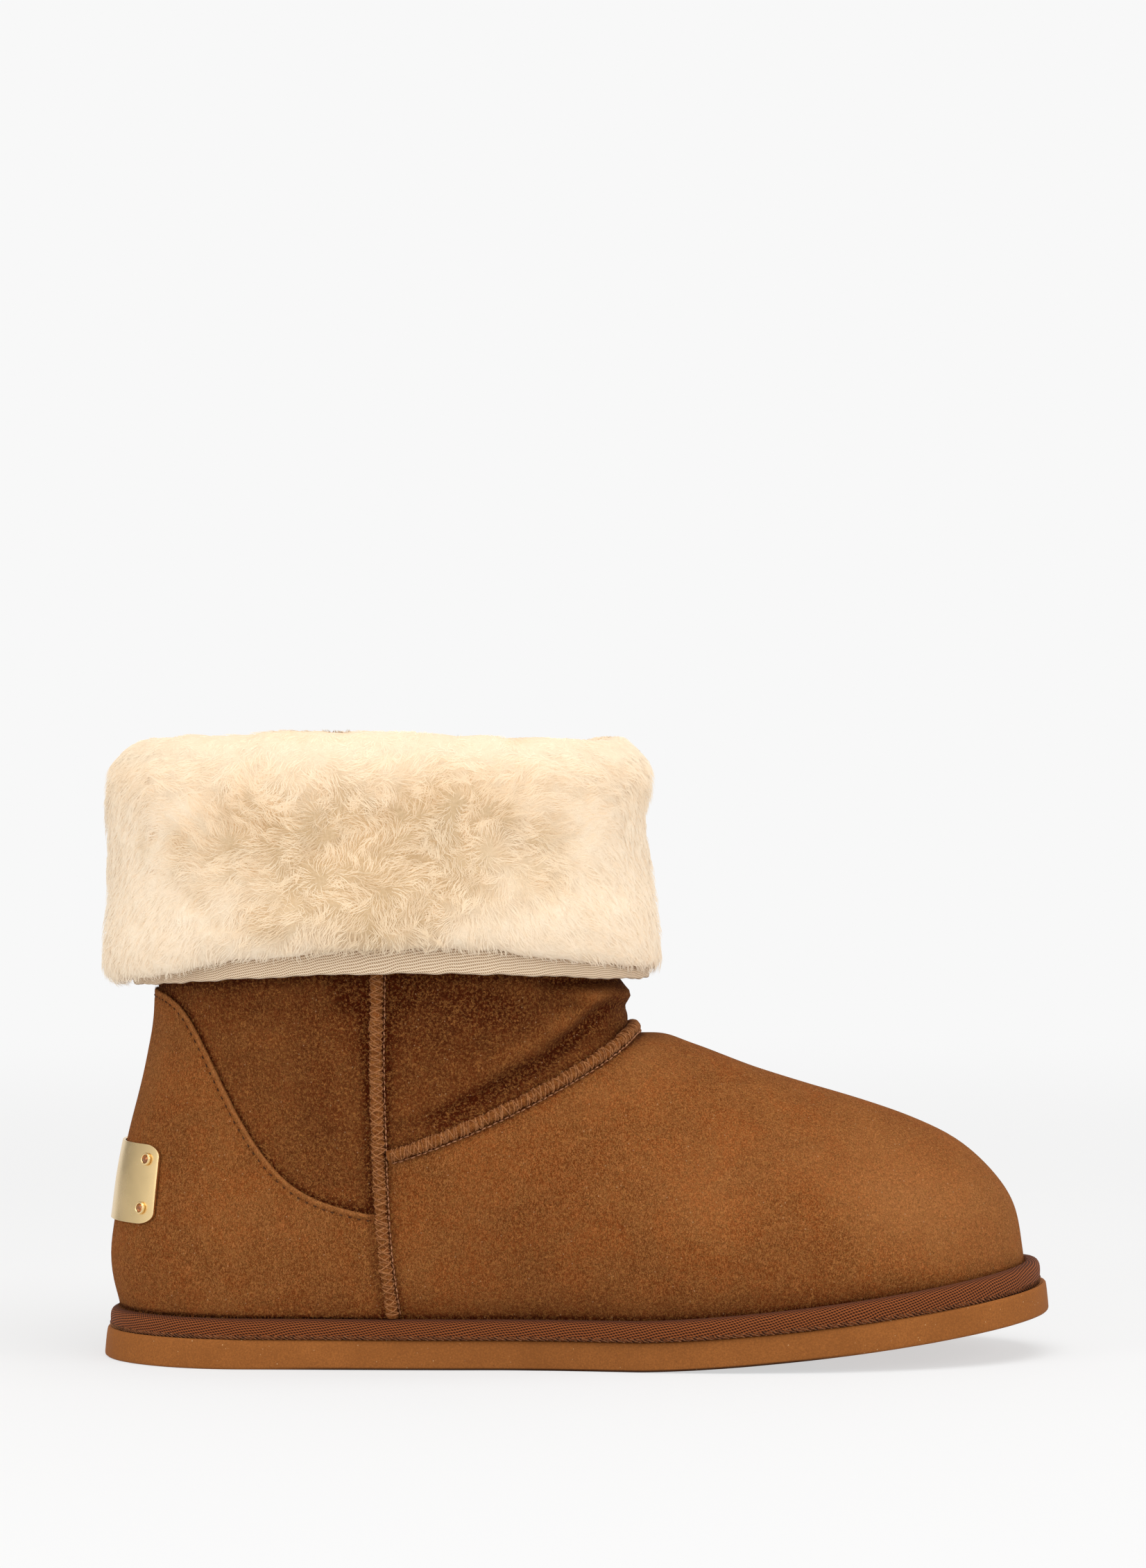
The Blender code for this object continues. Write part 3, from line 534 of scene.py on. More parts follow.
class Finish:
    """A node material on one shader: each call adds a node and gives its output."""

    def __init__(self, name, **constants):
        self.material = bpy.data.materials.new(name)
        self.material.use_nodes = True
        self.tree = self.material.node_tree
        self.shader = self.tree.nodes["Principled BSDF"]
        self.where = self.node("ShaderNodeTexCoord").outputs["Object"]
        for socket, value in constants.items():
            label = socket.replace("_", " ").title().replace("Ior", "IOR")
            self.shader.inputs[label].default_value = value

    def node(self, kind, **settings):
        made = self.tree.nodes.new(kind)
        for key, value in settings.items():
            setattr(made, key, value)
        return made

    def feed(self, socket, value):
        if isinstance(value, bpy.types.NodeSocket):
            self.tree.links.new(value, socket)
        elif value is not None:
            socket.default_value = value

    def scaled(self, where, scale):
        made = self.node("ShaderNodeVectorMath", operation="MULTIPLY")
        self.feed(made.inputs[0], where)
        made.inputs[1].default_value = scale
        return made.outputs[0]

    def noise(self, size, detail=3.0, rough=0.55, stretch=None, where=None, distortion=0.0):
        """Cloudy noise whose lumps are about that many millimetres."""
        made = self.node("ShaderNodeTexNoise")
        spot = where or self.where
        self.feed(made.inputs["Vector"], self.scaled(spot, stretch) if stretch else spot)
        made.inputs["Scale"].default_value = 1 / (size * MM)
        made.inputs["Detail"].default_value = detail
        made.inputs["Roughness"].default_value = rough
        made.inputs["Distortion"].default_value = distortion
        return made.outputs["Fac"]

    def cells(self, size, feature="F1", output="Distance", where=None, randomness=1.0):
        made = self.node("ShaderNodeTexVoronoi", feature=feature)
        self.feed(made.inputs["Vector"], where or self.where)
        made.inputs["Scale"].default_value = 1 / (size * MM)
        made.inputs["Randomness"].default_value = randomness
        return made.outputs[output]

    def math(self, operation, first, second=None, third=None, clamp=False):
        made = self.node("ShaderNodeMath", operation=operation, use_clamp=clamp)
        for socket, value in zip(made.inputs, (first, second, third)):
            self.feed(socket, value)
        return made.outputs[0]

    def span(self, value, low, high, to_low=0.0, to_high=1.0):
        made = self.node("ShaderNodeMapRange", interpolation_type="SMOOTHSTEP")
        for socket, number in zip(made.inputs, (value, low, high, to_low, to_high)):
            self.feed(socket, number)
        return made.outputs[0]

    def mix(self, factor, first, second, blend="MIX"):
        made = self.node("ShaderNodeMix", data_type="RGBA", blend_type=blend)
        self.feed(made.inputs["Factor"], factor)
        for socket, value in ((made.inputs[6], first), (made.inputs[7], second)):
            opaque = isinstance(value, (tuple, list)) and len(value) == 3
            self.feed(socket, (*value, 1) if opaque else value)
        return made.outputs[2]

    def tinted(self, factor, colour, tint):
        """The colour, multiplied by a tint as far as the factor says."""
        return self.mix(factor, colour, self.mix(1.0, colour, tint, "MULTIPLY"))

    def grey(self, value):
        made = self.node("ShaderNodeCombineColor")
        for socket in made.inputs:
            self.feed(socket, value)
        return made.outputs[0]

    def value(self, name):
        return self.node("ShaderNodeAttribute", attribute_name=name).outputs["Fac"]

    def across(self):
        """The piece's own map, whose two numbers are millimetres along and across it."""
        made = self.node("ShaderNodeSeparateXYZ")
        self.feed(made.inputs[0], self.node("ShaderNodeUVMap", uv_map="across").outputs[0])
        return made.outputs[0], made.outputs[1]

    def bump(self, height, distance, strength=1.0, under=None):
        made = self.node("ShaderNodeBump")
        made.inputs["Distance"].default_value = distance * MM
        made.inputs["Strength"].default_value = strength
        self.feed(made.inputs["Height"], height)
        if under is not None:
            self.feed(made.inputs["Normal"], under)
        return made.outputs[0]

    def done(self, colour, normal=None, roughness=None):
        self.feed(self.shader.inputs["Base Color"], colour)
        if normal is not None:
            self.feed(self.shader.inputs["Normal"], normal)
        if roughness is not None:
            self.feed(self.shader.inputs["Roughness"], roughness)
        return self.material


def rgb(value):
    """A colour's three numbers, without its alpha."""
    return tuple(value)[:3]


def suede_finish(name="suede", raised=0.0):
    """Brushed suede: browns blended by slow blotches, brush marks and short strokes of nap, darker
    by the painted shade value and lighter by the painted highlight value, in places real rubbed nap,
    with loose curled fibres over it all."""
    s = bpy.context.scene.boot_suede
    finish = Finish(name, roughness=0.95, specular_ior_level=0.04, sheen_weight=0.03, sheen_roughness=0.4,
                    sheen_tint=(0.9, 0.5, 0.25, 1))
    blotch = finish.span(finish.noise(22.0, 3.0, 0.55), 0.34, 0.66)
    brushed = finish.span(finish.noise(6.0, 2.5, 0.5, stretch=(1.0, 1.0, 1.6), distortion=0.8), 0.34, 0.66)
    strokes = finish.noise(0.30, 2.0, 0.6, stretch=(1.0, 1.0, 0.4), distortion=1.3)
    pebbles = finish.noise(0.7, 2.0, 0.6, distortion=1.4)
    fine = finish.math("MULTIPLY_ADD", strokes, 0.85, finish.math("MULTIPLY", pebbles, 0.15))
    fine = finish.span(fine, 0.41, 0.59)
    tone = finish.math("MULTIPLY_ADD", blotch, 0.28, finish.math("MULTIPLY", brushed, 0.16))
    tone = finish.math("MULTIPLY_ADD", fine, 0.52, tone)
    colour = finish.mix(tone, rgb(s.shade), rgb(s.colour))
    colour = finish.mix(finish.math("MULTIPLY", finish.span(fine, 0.6, 1.0), 0.5), colour, rgb(s.light))
    redder = finish.span(finish.noise(12.0, 3.0, 0.6, distortion=0.6), 0.42, 0.62)
    colour = finish.tinted(finish.math("MULTIPLY", redder, 0.5), colour, (1.08, 0.86, 0.70))
    # Partly painted highlight: this value, in places real rubbed nap, lifts fold ridges, lit patches and the
    # counter's edge toward the nap colour; a raised ridge is lifted evenly
    colour = finish.mix(finish.math("MAXIMUM", finish.value("rubbed_and_highlight"), raised), colour, rgb(s.light))
    # Mostly painted shade: darkens creases, the feet of seams, the tape's edge and the shaft under the cuff
    colour = finish.tinted(finish.value("shade"), colour, (0.24, 0.115, 0.072))
    broken = finish.span(finish.noise(0.8, 2.0, 0.6), 0.44, 0.58)
    fibres = []
    for size, thick in ((1.4, 0.045), (0.7, 0.07)):
        off = finish.math("SUBTRACT", finish.noise(size, 2.0, 0.6, distortion=1.6), 0.5)
        off = finish.math("ABSOLUTE", off)
        fibres.append(finish.math("MULTIPLY", finish.span(off, thick, 0.27 * thick), broken))
    fibre = finish.math("MAXIMUM", *fibres)
    colour = finish.mix(finish.math("MULTIPLY", fibre, 0.6), colour, rgb(s.fleck))
    speck = finish.span(finish.cells(2.6), 0.10, 0.05)
    colour = finish.mix(finish.math("MULTIPLY", speck, 0.5), colour, (0.50, 0.30, 0.16))
    normal = finish.bump(finish.math("MULTIPLY_ADD", fibre, 0.5, strokes), s.nap / MM, 1.0)
    normal = finish.bump(pebbles, 0.4, 0.9, normal)
    normal = finish.bump(brushed, 0.25, 0.3, normal)
    return finish.done(colour, normal)


def wool_finish(name="wool", strands=False):
    """Sheep's wool: tan between the locks and cream at their tips, paler where the pale value says;
    the tan between the locks and at the roots is partly painted shade, standing in for shadow that the
    strands don't cast, and the pale value partly painted light.
    """
    w = bpy.context.scene.boot_wool
    finish = Finish(name, roughness=0.9, specular_ior_level=0.05, sheen_weight=0.12, sheen_roughness=0.6,
                    sheen_tint=(1.0, 0.93, 0.82, 1))
    cloud = finish.noise(7.0, 3.0, 0.6)
    pale = finish.value("pale")
    if strands:
        tip, clouded = finish.value("tip"), finish.math("MULTIPLY_ADD", cloud, 0.8, -0.35)
        tone = finish.math("MULTIPLY_ADD", tip, 0.55, clouded)
        tone = finish.math("ADD", tone, finish.math("MULTIPLY", finish.value("lock"), 0.45))
        colour = finish.mix(finish.span(tone, 0.0, 1.0), rgb(w.root), rgb(w.tip))
        light = finish.mix(finish.span(tone, -0.2, 0.8), rgb(w.pale_root), rgb(w.pale))
        return finish.done(finish.mix(pale, colour, light))
    fine = finish.noise(0.8, 4.0, 0.7)
    tufts = finish.noise(2.6, 2.0, 0.6, distortion=1.5)
    tone = finish.math("MULTIPLY_ADD", fine, 0.45, finish.math("MULTIPLY", cloud, 0.3))
    tone = finish.span(finish.math("MULTIPLY_ADD", tufts, 0.35, tone), 0.35, 0.75)
    colour = finish.mix(tone, rgb(w.deep), rgb(w.root))
    light = finish.mix(finish.math("MULTIPLY_ADD", tone, 0.6, 0.4), rgb(w.pale_root), rgb(w.pale))
    normal = finish.bump(finish.math("ADD", fine, tufts), 0.4, 0.6)
    return finish.done(finish.mix(pale, colour, light), normal)


def twill_finish(name, dark, light, pitch, cell, slant, back_slant, gap_wide, gap_least):
    """A twill tape from the piece's own map: near-level rows of yarn, with a dark stroke in the gap
    between two rows where each yarn dives, and each row a step on from the last; where the fold
    value is over a half the rows slant back the other way. The gap's share of a row and its least
    depth say how open the weave looks."""
    finish = Finish(name, roughness=0.85, specular_ior_level=0.08, sheen_weight=0.04, sheen_roughness=0.5)
    along, across = finish.across()
    wobble = finish.math("MULTIPLY", finish.noise(14.0, 2.0), 2.4 * pitch)
    folded = finish.math("GREATER_THAN", finish.value("fold"), 0.5)
    slope = finish.math("MULTIPLY_ADD", folded, back_slant - slant, slant)
    row = finish.math("ADD", finish.math("MULTIPLY_ADD", along, slope, across), wobble)
    rib = finish.math("SINE", finish.math("MULTIPLY", row, TURN / pitch))
    shifted = finish.math("MULTIPLY_ADD", across, 0.9, along)
    knot = finish.math("SINE", finish.math("MULTIPLY", shifted, TURN / cell))
    between, dive = finish.span(rib, gap_wide, -0.35), finish.span(knot, 0.7, -0.3, gap_least, 1.0)
    gap = finish.math("MULTIPLY", between, dive)
    fluff = finish.noise(0.5, 3.0, 0.7)
    height = finish.math("SUBTRACT", finish.math("MULTIPLY_ADD", knot, 0.12, 0.85), gap)
    tone = finish.math("ADD", height, finish.math("MULTIPLY_ADD", fluff, 0.4, -0.2))
    colour = finish.mix(finish.span(tone, 0.0, 1.0), dark, light)
    # Painted shade where the shade value says
    colour = finish.tinted(finish.value("shade"), colour, (0.3, 0.24, 0.2))
    return finish.done(colour, finish.bump(height, 0.2, 1.0))


def foam_finish():
    """Light foamed rubber: fine grain, dark and pale specks, small pits, and painted shade where the shade
    value says.
    """
    s = bpy.context.scene.boot_sole
    finish = Finish("foam_rubber", roughness=0.75, specular_ior_level=0.1)
    cloud = finish.noise(18.0, 3.0)
    grain = finish.noise(0.5, 2.0, 0.7)
    clouded, grained = finish.math("MULTIPLY_ADD", cloud, 0.22, 0.19), finish.math("MULTIPLY", grain, 0.42)
    tone = finish.math("ADD", clouded, grained)
    colour = finish.mix(finish.span(tone, 0.40, 0.72), rgb(s.shade), rgb(s.colour))
    speck = finish.span(finish.cells(2.0), 0.10, 0.04)
    rare = finish.span(finish.noise(3.0, 2.0), 0.42, 0.62)
    colour = finish.mix(finish.math("MULTIPLY", speck, rare), colour, (0.62, 0.38, 0.18))
    pits = finish.span(finish.cells(0.9), 0.0, 0.24)
    colour = finish.mix(finish.span(pits, 1.0, 0.2, 0.0, 0.35), colour, rgb(s.shade))
    colour = finish.tinted(finish.value("shade"), colour, (0.14, 0.13, 0.13))
    normal = finish.bump(finish.math("MULTIPLY_ADD", grain, 0.7, pits), 0.1, 0.8)
    return finish.done(colour, normal, finish.span(grain, 0.3, 0.7, 0.65, 0.85))


def gilt_finish():
    """Satin gilt: faint fine lines round the heel, and slow clouds in its polish."""
    m = bpy.context.scene.boot_metal
    finish = Finish("gilt", metallic=1.0, roughness=0.28, anisotropic=0.3)
    lines = finish.noise(0.9, 2.0, 0.6, stretch=(0.12, 0.12, 5.0))
    cloud = finish.noise(9.0, 2.0)
    bright = tuple(min(1, 1.06 * c) for c in rgb(m.gilt))
    colour = finish.mix(finish.span(cloud, 0.3, 0.7), rgb(m.gilt), bright)
    return finish.done(colour, finish.bump(lines, 0.002, 0.3), finish.span(cloud, 0.3, 0.7, 0.24, 0.29))


def amber_finish():
    """Amber glass: a bright face with deeper orange cells under a glossy skin."""
    m = bpy.context.scene.boot_metal
    finish = Finish("amber", roughness=0.12, specular_ior_level=0.5, coat_weight=0.4, coat_roughness=0.05)
    cloud = finish.cells(0.9)
    colour = finish.mix(finish.span(cloud, 0.15, 0.6), rgb(m.amber), tuple(0.3 * c for c in rgb(m.amber)))
    return finish.done(colour)


def thread_finish(name, dark, light):
    """Twisted sewing thread: two browns in short bands."""
    finish = Finish(name, roughness=0.8, specular_ior_level=0.1, sheen_weight=0.02)
    tone = finish.noise(0.7, 3.0, 0.7)
    colour = finish.mix(finish.span(tone, 0.3, 0.7), dark, light)
    return finish.done(colour, finish.bump(tone, 0.05, 0.7))


FINISHES = {}


def finish_once(key, make):
    """The finish of that name, made the first time it is asked for."""
    if key not in FINISHES:
        FINISHES[key] = make()
    return FINISHES[key]


# ---------------------------------------------------------------- suede upper and its lining


def sole_clear(x, z):
    """Height above the sole's top and its gap, both bent up at the toe."""
    return z - toe_lift(x) - SOLE_THICKNESS - GAP


def counter_edge_z(x):
    """Height of the counter's upper edge, read off a spline through its points."""
    at = np.linspace(0, len(COUNTER_EDGE) - 1, 120)
    return np.interp(x, *splined(COUNTER_EDGE, at))


def above_tape(x, z):
    """Height above the line where the sole tape's shade begins, bent up at the toe."""
    return z - toe_lift(x) - SOLE_THICKNESS - TAPE_TOP - TAPE_SHADE_FROM


def tape_shade(rise, spread=1.0):
    """Painted shadow along the sole tape's upper edge, and a wider, fainter painted shade over it."""
    rise = np.maximum(rise, 0)
    return 0.85 * bell(rise, 1.1) + 0.32 * bell(rise, 5.0) * spread


def summed_patches(patches, x, z):
    """The sum of a table's patches: each an oval bell times how dark it is."""
    return sum(
        dark * np.exp(-(((x - at_x) / wide) ** 2) - ((z - at_z) / tall) ** 2)
        for at_x, at_z, wide, tall, dark in patches
    )


def edge_height(phi, terms):
    """A wave round the leg: its height at the sides, plus shares of cos phi and of its square."""
    return terms[0] + terms[1] * np.cos(phi) + terms[2] * np.cos(phi) ** 2


def suede_shade_and_tone(points, phi):
    """Painted shade and painted light on the suede, with some of its own tone: bells of painted shade
    beside the seams, above the tape and the counter's edge and under the cuff, the shaft's depth (partly
    its panel's darker tone, partly painted shade), painted shade in its folds' troughs and painted
    highlight on their ridges, and the patches in the table."""
    x, _, z = np.moveaxis(points, -1, 0)
    beside = np.abs(x - side_seam_x(z))
    # Painted shade in the valleys beside the side seams
    shade = 0.55 * bell(beside - 2.4, 1.5)
    shade = shade + 0.25 * bell(beside - 4.5, 4.0) * smooth_step((z - 60) / 50)
    # Painted shade along both sides of the instep seam and in the throat fold's trough
    above = over_instep(x, z)
    front = smooth_step((x - INSTEP_X - 1) / 5)
    shade = shade + front * (0.28 * bell(above - 2.0, 0.9) + 0.95 * bell(above + 2.1, 0.55))
    fold, along = path_distance(np.stack([x, z], -1), THROAT_FOLD)
    folded = 0.5 * bell(fold, 2.5) * smooth_step((1 - along) / 0.2)
    shade = shade + front * (0.12 * bell(above - 5.5, 3.2) + folded)
    # Painted shade above the sole tape, fading towards the toe
    rise = above_tape(x, z)
    shade = shade + tape_shade(rise, 1 - 0.6 * smooth_step((x - 205) / 50))
    behind = np.where(x < side_seam_x(z) - 1, 1.0, 0.0)
    # Painted shadow just above the counter's edge
    shade = shade + behind * 0.65 * bell(np.maximum(z - counter_edge_z(x), 0), 1.8)
    # Painted shadow of the cuff on the shaft below its binding
    under = np.maximum(edge_height(phi, BINDING_EDGE) - z, 0)
    shade = shade + 0.45 * bell(under, 1.8) + 0.12 * bell(under, 22.0)
    shade = shade + summed_patches(SHADE_LIGHT_AND_TONE_PATCHES, x, z)
    # The shaft darker, partly its panel's own tone and partly painted shade under the cuff; lower down, the
    # vamp painted darker towards the tape
    shaft = np.where(behind > 0, smooth_step((z - 42) / 4), smooth_step(above / 0.8))
    shade = shade + shaft * (0.39 + 0.17 * bell(x - 106, 26) + 0.09 * smooth_step((z - 72) / 34))
    shade = shade + (1 - shaft) * 0.12 * bell(np.maximum(rise, 0), 26) * smooth_step((238 - x) / 40)
    # Painted shade in the folds' troughs and painted highlight on their ridges
    deep = relief(points)
    shade = shade + 0.17 * np.maximum(-deep - 0.4, 0) - 0.22 * np.clip(deep - 0.3, 0, 1.6)
    return {"shade": np.clip(shade, 0, 1), "rubbed_and_highlight": np.clip(-shade, 0, 0.6)}


def upper_angles(count):
    """Angles round the upper, closer together beside the side seams."""
    return spaced(lambda t: 1 + 1.3 * bell(np.abs(t) - 1.72, 0.24), count + 1, -math.pi, math.pi)[:-1]


def make_upper():
    """A closed sheet: the suede's outer surface going up, then its flesh side coming down."""
    phi = upper_angles(380)[None, :]
    steps = [np.arange(*part) for part in ((0, 5, 0.11), (5, 8, 0.085), (8, 10.6, 0.066))]
    steps = np.concatenate([*steps, np.linspace(10.65, 12, 6)])
    low = level_where(phi, sole_clear)
    outer = low + (TOP_LEVEL - low) * steps[:, None] / TOP_LEVEL
    inner = outer[::-6]
    depth = bpy.context.scene.boot_suede.thickness / MM
    inside = last_xyz(np.broadcast_to(phi, inner.shape), inner)
    inside = inside - depth * last_normal(np.broadcast_to(phi, inner.shape), inner)
    points = np.concatenate([on_suede(phi, outer, 0.0), inside])
    faces, _, _ = grid_faces(*points.shape[:2], True, True)
    add_piece("upper_suede", points, faces, finish_once("suede", suede_finish), ("upper",),
              values=suede_shade_and_tone(points, np.broadcast_to(phi, points.shape[:2])))


def make_nap_fringe():
    """Short nap that hangs over the tape's upper edge, all round the upper and its counter."""
    random = np.random.default_rng(19)
    count = 1800
    phi = (np.arange(count) + random.random(count)) / count * TURN
    toe = ((1 + np.cos(phi)) / 2) ** 4
    high = SOLE_THICKNESS + GAP + TAPE_TOP + TAPE_TOE_RISE * toe + random.uniform(0.15, 1.3, count)
    level = level_where(phi, lambda x, z: z - toe_lift(x) - high)
    x = last_xyz(phi, level)[:, 0]
    out = np.where(x < side_seam_x(20.0) - 2, 1.3, 0.0)
    root, normal = on_suede(phi, level, out), last_normal(phi, level)
    up, around = up_and_round(phi, level, normal)
    lean = np.stack([random.normal(0, 0.45, count), -np.ones(count)], -1)
    length, width = random.uniform(0.9, 1.8, count), random.uniform(0.1, 0.2, count)
    rise = random.uniform(0.35, 1.0, count)
    add_strands("nap_fringe", root, normal, around, up, lean, length, width, np.zeros((count, 2)),
                rise, rise, rise, random, nap=random.uniform(0.1, 0.6, count))


def make_lining():
    """The sheepskin's wool inside the suede: a smooth back, and a face with soft tufts of noise."""
    phi = circle(150)[None, :]
    steps = np.concatenate([np.linspace(0.15, 9, 30), np.linspace(9.15, 12, 14)])
    low = level_where(phi, sole_clear)
    outer = low + (TOP_LEVEL - low) * steps[:, None] / TOP_LEVEL
    wide = np.broadcast_to(phi, outer.shape)
    base, normal = last_xyz(wide, outer), last_normal(wide, outer)
    back = base - (bpy.context.scene.boot_suede.thickness / MM + GAP) * normal
    face = (base - (WALL - 0.6) * normal)[::-1]
    tufts = 0.7 * soft_noise(face, 7.0, 11.0) + 0.45 * soft_noise(face, 3.0, 12.0)
    face = face + normal[::-1] * np.minimum(tufts, 0.9)[..., None]
    points = np.concatenate([back, face])
    faces, _, _ = grid_faces(*points.shape[:2], True, True)
    add_piece("wool_lining", points, faces, finish_once("wool", wool_finish),
              values={"pale": np.full(points.shape[:2], 0.25)})


# ---------------------------------------------------------------- cuff


def edge_wave(phi, z):
    """How far the wave of the cuff's lower edge moves its wool up: all of it at the foot, and less
    and less above."""
    fade = np.clip(1 - (z - WAVE_FROM) / (WAVE_TO - WAVE_FROM), 0, 1)
    return (edge_height(phi, WOOL_EDGE) - CUFF_FOOT_Z) * fade


def cuff_at(phi, place):
    """The cuff's wool body at angles and places along its section: the shaft's outline moved out,
    its height waved at the lower edge and dropped at the rim."""
    out, z, bulge = splined(CUFF_SECTION, place)
    out = out - CUFF_BACK_BULGE * bulge * np.cos(phi)
    inner = RIM_SIDE_DROP * np.maximum(np.sin(phi), 0) ** 2
    drop = smooth_step((z - RIM_FROM) / RIM_DEPTH) * (RIM_DROP * np.cos(phi) ** 2 + inner)
    points = flat_outward(phi, last_row(level_near(z)), out)
    points[..., 2] = z + edge_wave(phi, z) - drop
    return points


def cuff_frame(phi, place):
    """Places on the wool body with its soft lumps of noise, its normal, and its directions round
    and along."""
    step = 2e-3
    base = cuff_at(phi, place)
    around = unit(cuff_at(phi + step, place) - cuff_at(phi - step, place))
    along = unit(cuff_at(phi, place + 8 * step) - cuff_at(phi, place - 8 * step))
    normal = unit(np.cross(along, around))
    visible = smooth_step((place - WOOL_FROM) / 1.2) * smooth_step((WOOL_TO + 1 - place) / 1.6)
    lump = soft_noise(base, 17.0, 21.0)
    for share, size, seed in ((0.6, 7.0, 22.0), (0.3, 3.2, 23.0)):
        lump = lump + share * soft_noise(base, size, seed)
    return base + normal * (lump * visible)[..., None], normal, around, along


def wool_pale(points):
    """How pale the wool is: one at the ends and the foot of the cuff, a little less at the crown,
    falling to nothing in a ragged oval in the middle of each side: partly painted light on the ends and
    foot, partly painted shade in the middle of the sides and over the crown."""
    x, _, z = np.moveaxis(points, -1, 0)
    from_middle = np.sqrt(((x - 80) / 66) ** 2 + ((z - 147) / np.where(z > 147, 23, 35)) ** 2)
    ragged = 0.19 * soft_noise(points, 11.0, 51.0) + 0.11 * soft_noise(points, 4.6, 52.0)
    pale = np.maximum(smooth_step((from_middle + ragged - 0.45) / 0.65), smooth_step((z - 166) / 7))
    return pale * (1 - 0.36 * smooth_step((z - 152) / 12))


def make_cuff():
    """The wool body under the strands: the section's places by angles round the shaft."""
    columns = 230
    place = [np.linspace(0, 6, 6)[:-1], np.linspace(6, 21, 64), np.linspace(21.2, 22, 3)]
    place = np.concatenate(place)
    phi = np.broadcast_to(circle(columns)[None, :], (len(place), columns))
    points = cuff_frame(phi, place[:, None])[0]
    faces, _, _ = grid_faces(*points.shape[:2], True, True)
    add_piece("cuff_body", points, faces[:, ::-1], finish_once("wool", wool_finish), ("cuff",),
              values={"pale": wool_pale(points)})


def scatter(count, wide, long, random):
    """Jittered places in a grid of cells over a strip; both numbers run from 0 to 1."""
    columns = int(round(math.sqrt(count * wide / long)))
    rows = max(1, count // columns)
    i, j = np.meshgrid(np.arange(columns), np.arange(rows), indexing="ij")
    first = (i.ravel() + random.random(i.size)) / columns
    second = (j.ravel() + random.random(i.size)) / rows
    return first, second


def lock_pull(round_mm, along_mm, size, around_mm):
    """The way from each place to the middle of its lock, the nearest of one jittered point a cell,
    and that lock's random tone."""
    cells = max(1, round(around_mm / size))
    width = around_mm / cells
    i, j = np.floor(round_mm / width), np.floor(along_mm / size)
    best = np.full(round_mm.shape, np.inf)
    pull, tone = np.zeros((*round_mm.shape, 2)), np.zeros(round_mm.shape)
    for di in (-1, 0, 1):
        for dj in (-1, 0, 1):
            column, row = i + di, j + dj
            mixed = (column % cells) * CELL_MIX[0] + row * CELL_MIX[1]
            in_column, in_row, own_tone = (scrambled(mixed + k * CELL_MIX[2]) for k in range(3))
            across, along = (column + in_column) * width, (row + in_row) * size
            way = np.stack([across - round_mm, along - along_mm], -1)
            distance = np.linalg.norm(way, axis=-1)
            closer = distance < best
            best = np.where(closer, distance, best)
            pull = np.where(closer[..., None], way, pull)
            tone = np.where(closer, own_tone, tone)
    return pull, tone


def comb_over(z):
    """How far the wool leans along the section at that height: down below the middle, up above."""
    heights = (108, 116, 124, 134, 142, 150, 160, 168, 174)
    return np.interp(z, heights, (0.9, 1.0, 1.0, 0.7, 0.25, -0.3, -0.5, 0.0, 0.6))


def add_strands(
    name, root, normal, around, along, lean, length, width, pull, tone, rise, pale, random, nap=None
):
    """Flat tapered strands with a ridge on top: each leaves the surface at its rise, lies down along
    its lean, and its tip is drawn half way to the middle of its lock. Their normals stay near the
    surface's own, and those of their undersides near the way up along it, so that the wool shades as
    one soft body."""
    count = len(root)
    way = unit(lean[:, :1] * around + lean[:, 1:] * along)
    side = np.cross(normal, way)
    curl = random.normal(0, 0.42, (count, 1)) * side
    gather = pull[:, :1] * around + pull[:, 1:] * along
    half, steep = length[:, None] / 2, rise[:, None]
    middle = root + half * unit(way + normal * steep - curl * 0.5) + gather * 0.16
    tip = middle + half * unit(way + normal * steep * 0.25 + curl) + gather * 0.42
    start = root - normal * 0.25
    wide, tall = width[:, None] / 2 * side, width[:, None] * 0.3 * normal
    points = np.stack([start + wide, start + tall, start - wide,
                       middle + wide * 0.85, middle + tall, middle - wide * 0.85, tip], 1)
    bowed = (0.42 - 0.24 * pale)[:, None] * side
    soft = np.stack([normal + bowed, normal, normal - bowed], 1)
    soft = np.concatenate([soft, soft, normal[:, None]], 1)
    quads, _, _ = grid_faces(2, 3, close_columns=True)
    ends = np.array([[3, 4, 6], [4, 5, 6], [5, 3, 6], [2, 1, 0]])
    around_quads, around_ends = soft[:, quads], soft[:, ends]
    flat = np.abs(normal[:, 2:])
    level_out = unit(normal * (1.0, 1.0, 0.0) + 1e-6)
    below = unit((1 - flat) * (0.0, 0.0, 1.0) + flat * level_out - 0.6 * normal)
    around_quads[:, 2] = below[:, None]
    around_ends[:, 2:] = below[:, None, None]
    normals = unit(np.concatenate([around_quads.reshape(-1, 3), around_ends.reshape(-1, 3)]))
    offsets = (np.arange(count) * STRAND_POINTS)[:, None, None]
    faces = [(group[None] + offsets).reshape(-1, group.shape[1]) for group in (quads, ends)]
    values = {"tip": np.tile(np.array([0.0, 0, 0, 0.6, 0.6, 0.6, 1.0]), count),
              "lock": np.repeat(tone, STRAND_POINTS), "pale": np.repeat(pale, STRAND_POINTS)}
    if nap is None:
        material, slot = finish_once("wool_strand", lambda: wool_finish("wool_strand", True)), "wool"
    else:
        material, slot = finish_once("suede", suede_finish), "suede"
        nap = np.repeat(nap, STRAND_POINTS)
        values = {"shade": np.maximum(nap, 0), "rubbed_and_highlight": np.maximum(-nap, 0)}
    piece = add_piece(name, points, faces, material, values=values, normals=normals)
    piece.visible_shadow = False


